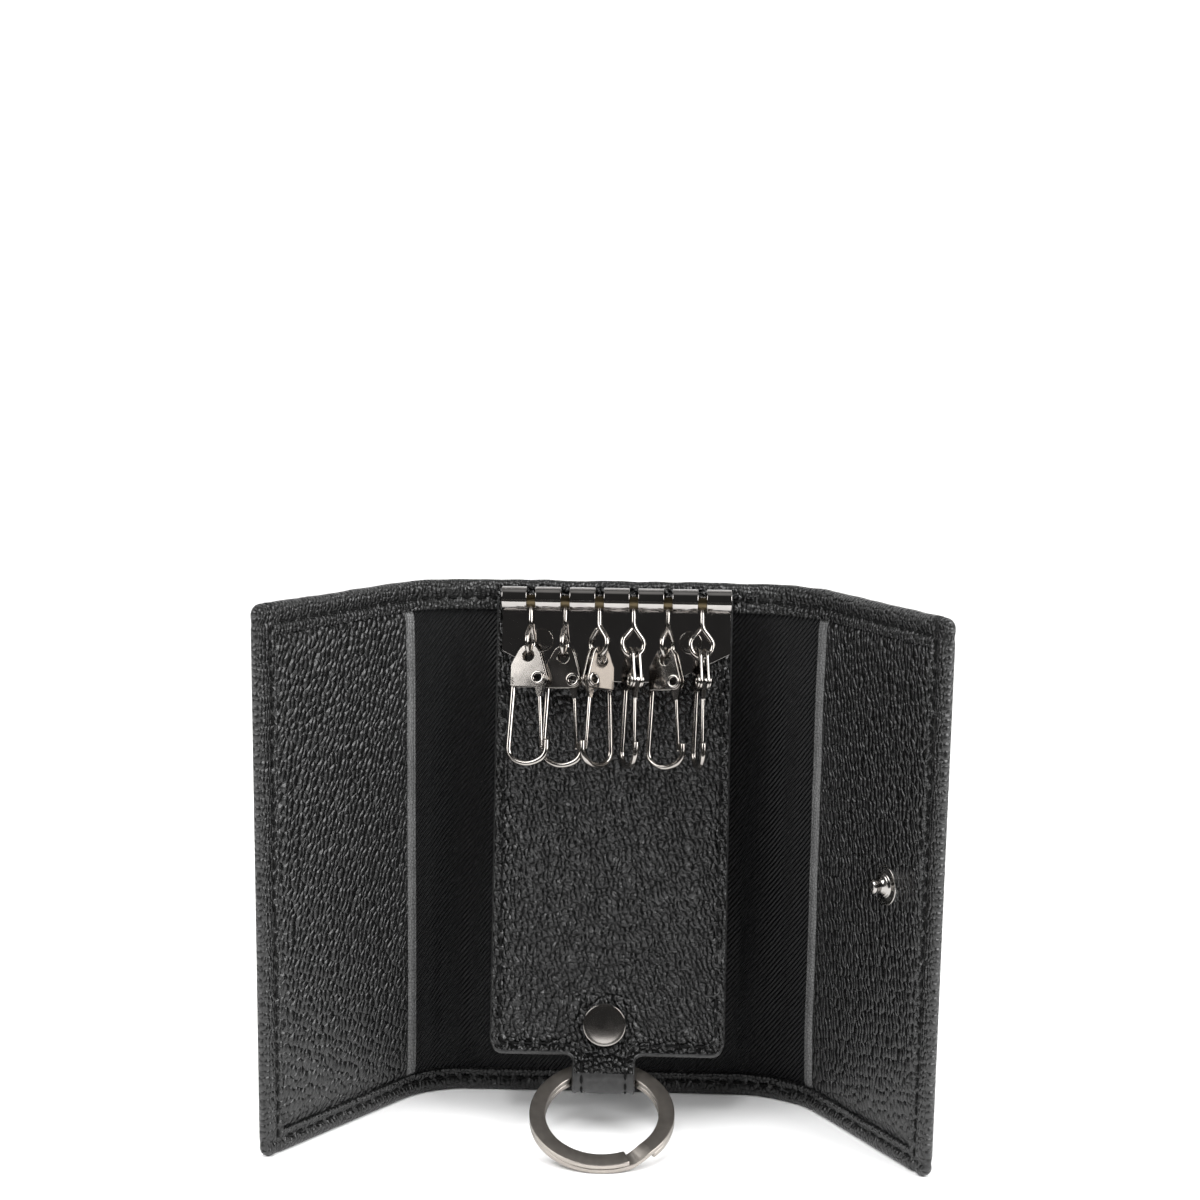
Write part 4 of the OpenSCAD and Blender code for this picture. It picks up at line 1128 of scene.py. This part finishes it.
FLOOR_END, COVE = 0.5, 0.7
backdrop = [(-2.5, 0.0), (FLOOR_END, 0.0)]
backdrop += [(FLOOR_END + COVE * sin(w), COVE - COVE * cos(w)) for w in np.linspace(0, pi / 2, 25)[1:]]
backdrop.append((FLOOR_END + COVE, 2.6))
staged("floor", [(x, y, z) for y, z in backdrop for x in (-3, 3)],
       [(2 * k, 2 * k + 1, 2 * k + 3, 2 * k + 2) for k in range(len(backdrop) - 1)],
       plain("pale_floor", (0.93, 0.93, 0.93), 0.75))

world = bpy.data.worlds.new("studio")
bpy.context.scene.world = world
world.use_nodes = True
g = Graph(world.node_tree)
split = g.add("SeparateXYZ", {0: g.add("TexCoord", {}).outputs["Generated"]})
overhead = g.ramp(split.outputs["Z"], [(0.0, 0.0), (0.9, 0.015), (0.985, 0.36), (1.0, 0.4)])
behind = g.ramp(split.outputs["Y"], [(0.0, 0.04), (0.25, 0.05), (0.7, 0.3), (1.0, 0.5)])
seen = g.math("MAXIMUM", overhead, behind)
rays = g.add("LightPath", {})
for ray, value in (("Is Diffuse Ray", 0.3), ("Is Camera Ray", 1.0)):
    gap = g.math("SUBTRACT", value, seen)
    seen = g.math("MULTIPLY_ADD", gap, rays.outputs[ray], seen)
g.put(g.nodes["Background"].inputs, {"Color": seen, "Strength": 1.0})


def area(name, place, size, power, glossy=True):
    """A square light, in metres and watts, that faces the middle of the part."""
    light = bpy.data.lights.new(name, "AREA")
    light.energy, light.size = power, size
    o = bpy.data.objects.new(name, light)
    bpy.context.scene.collection.objects.link(o)
    o.location = place
    o.rotation_euler = (Vector((0, 0, 0.05)) - Vector(place)).to_track_quat("-Z", "Y").to_euler()
    o.visible_glossy = glossy


area("key_left", (-0.8, -0.5, 0.8), 0.8, 11.0)
area("fill_right", (0.85, -0.45, 0.7), 0.8, 17.0)
area("top", (0.0, -0.2, 1.1), 0.9, 7.0, glossy=False)
area("front", (-0.2, -0.9, 1.1), 0.25, 5.0, glossy=False)

# A black card lies in front, out of the picture, as a studio hangs black cloth round polished metal
staged("black_card", [(x, y, 0.001) for x, y in ((-1.2, -1.8), (1.2, -1.8), (1.2, -0.235), (-1.2, -0.235))],
       [(0, 1, 2, 3)], plain("black_cloth", (0.01, 0.009, 0.008), 0.9), reflected_only=True)

# The camera that was worked out from the photograph: place in millimetres, angles, focal length in pixels
CAMERA, FOCAL, PHOTO = (8.97, -473.0, 179.25), 2254.69, 1200
YAW, PITCH, ROLL = radians(-1.44), radians(11.36), radians(-0.78)
to_camera = (Matrix.Rotation(-ROLL, 3, "Y") @ Matrix.Rotation(PITCH, 3, "X") @ Matrix.Rotation(YAW, 3, "Z"))
right, forward, up = to_camera.row[0], to_camera.row[1], to_camera.row[2]
camera = bpy.data.objects.new("camera", bpy.data.cameras.new("camera"))
bpy.context.scene.collection.objects.link(camera)
camera.matrix_world = Matrix.LocRotScale(
    Vector(CAMERA) * MM, Matrix((right, up, -forward)).transposed().to_quaternion(), None)
camera.data.sensor_width = 36
camera.data.lens = FOCAL / PHOTO * 36
camera.data.shift_y = 0.1
camera.data.clip_start = 0.01
bpy.context.scene.camera = camera
bpy.context.scene.view_settings.view_transform = "Standard"
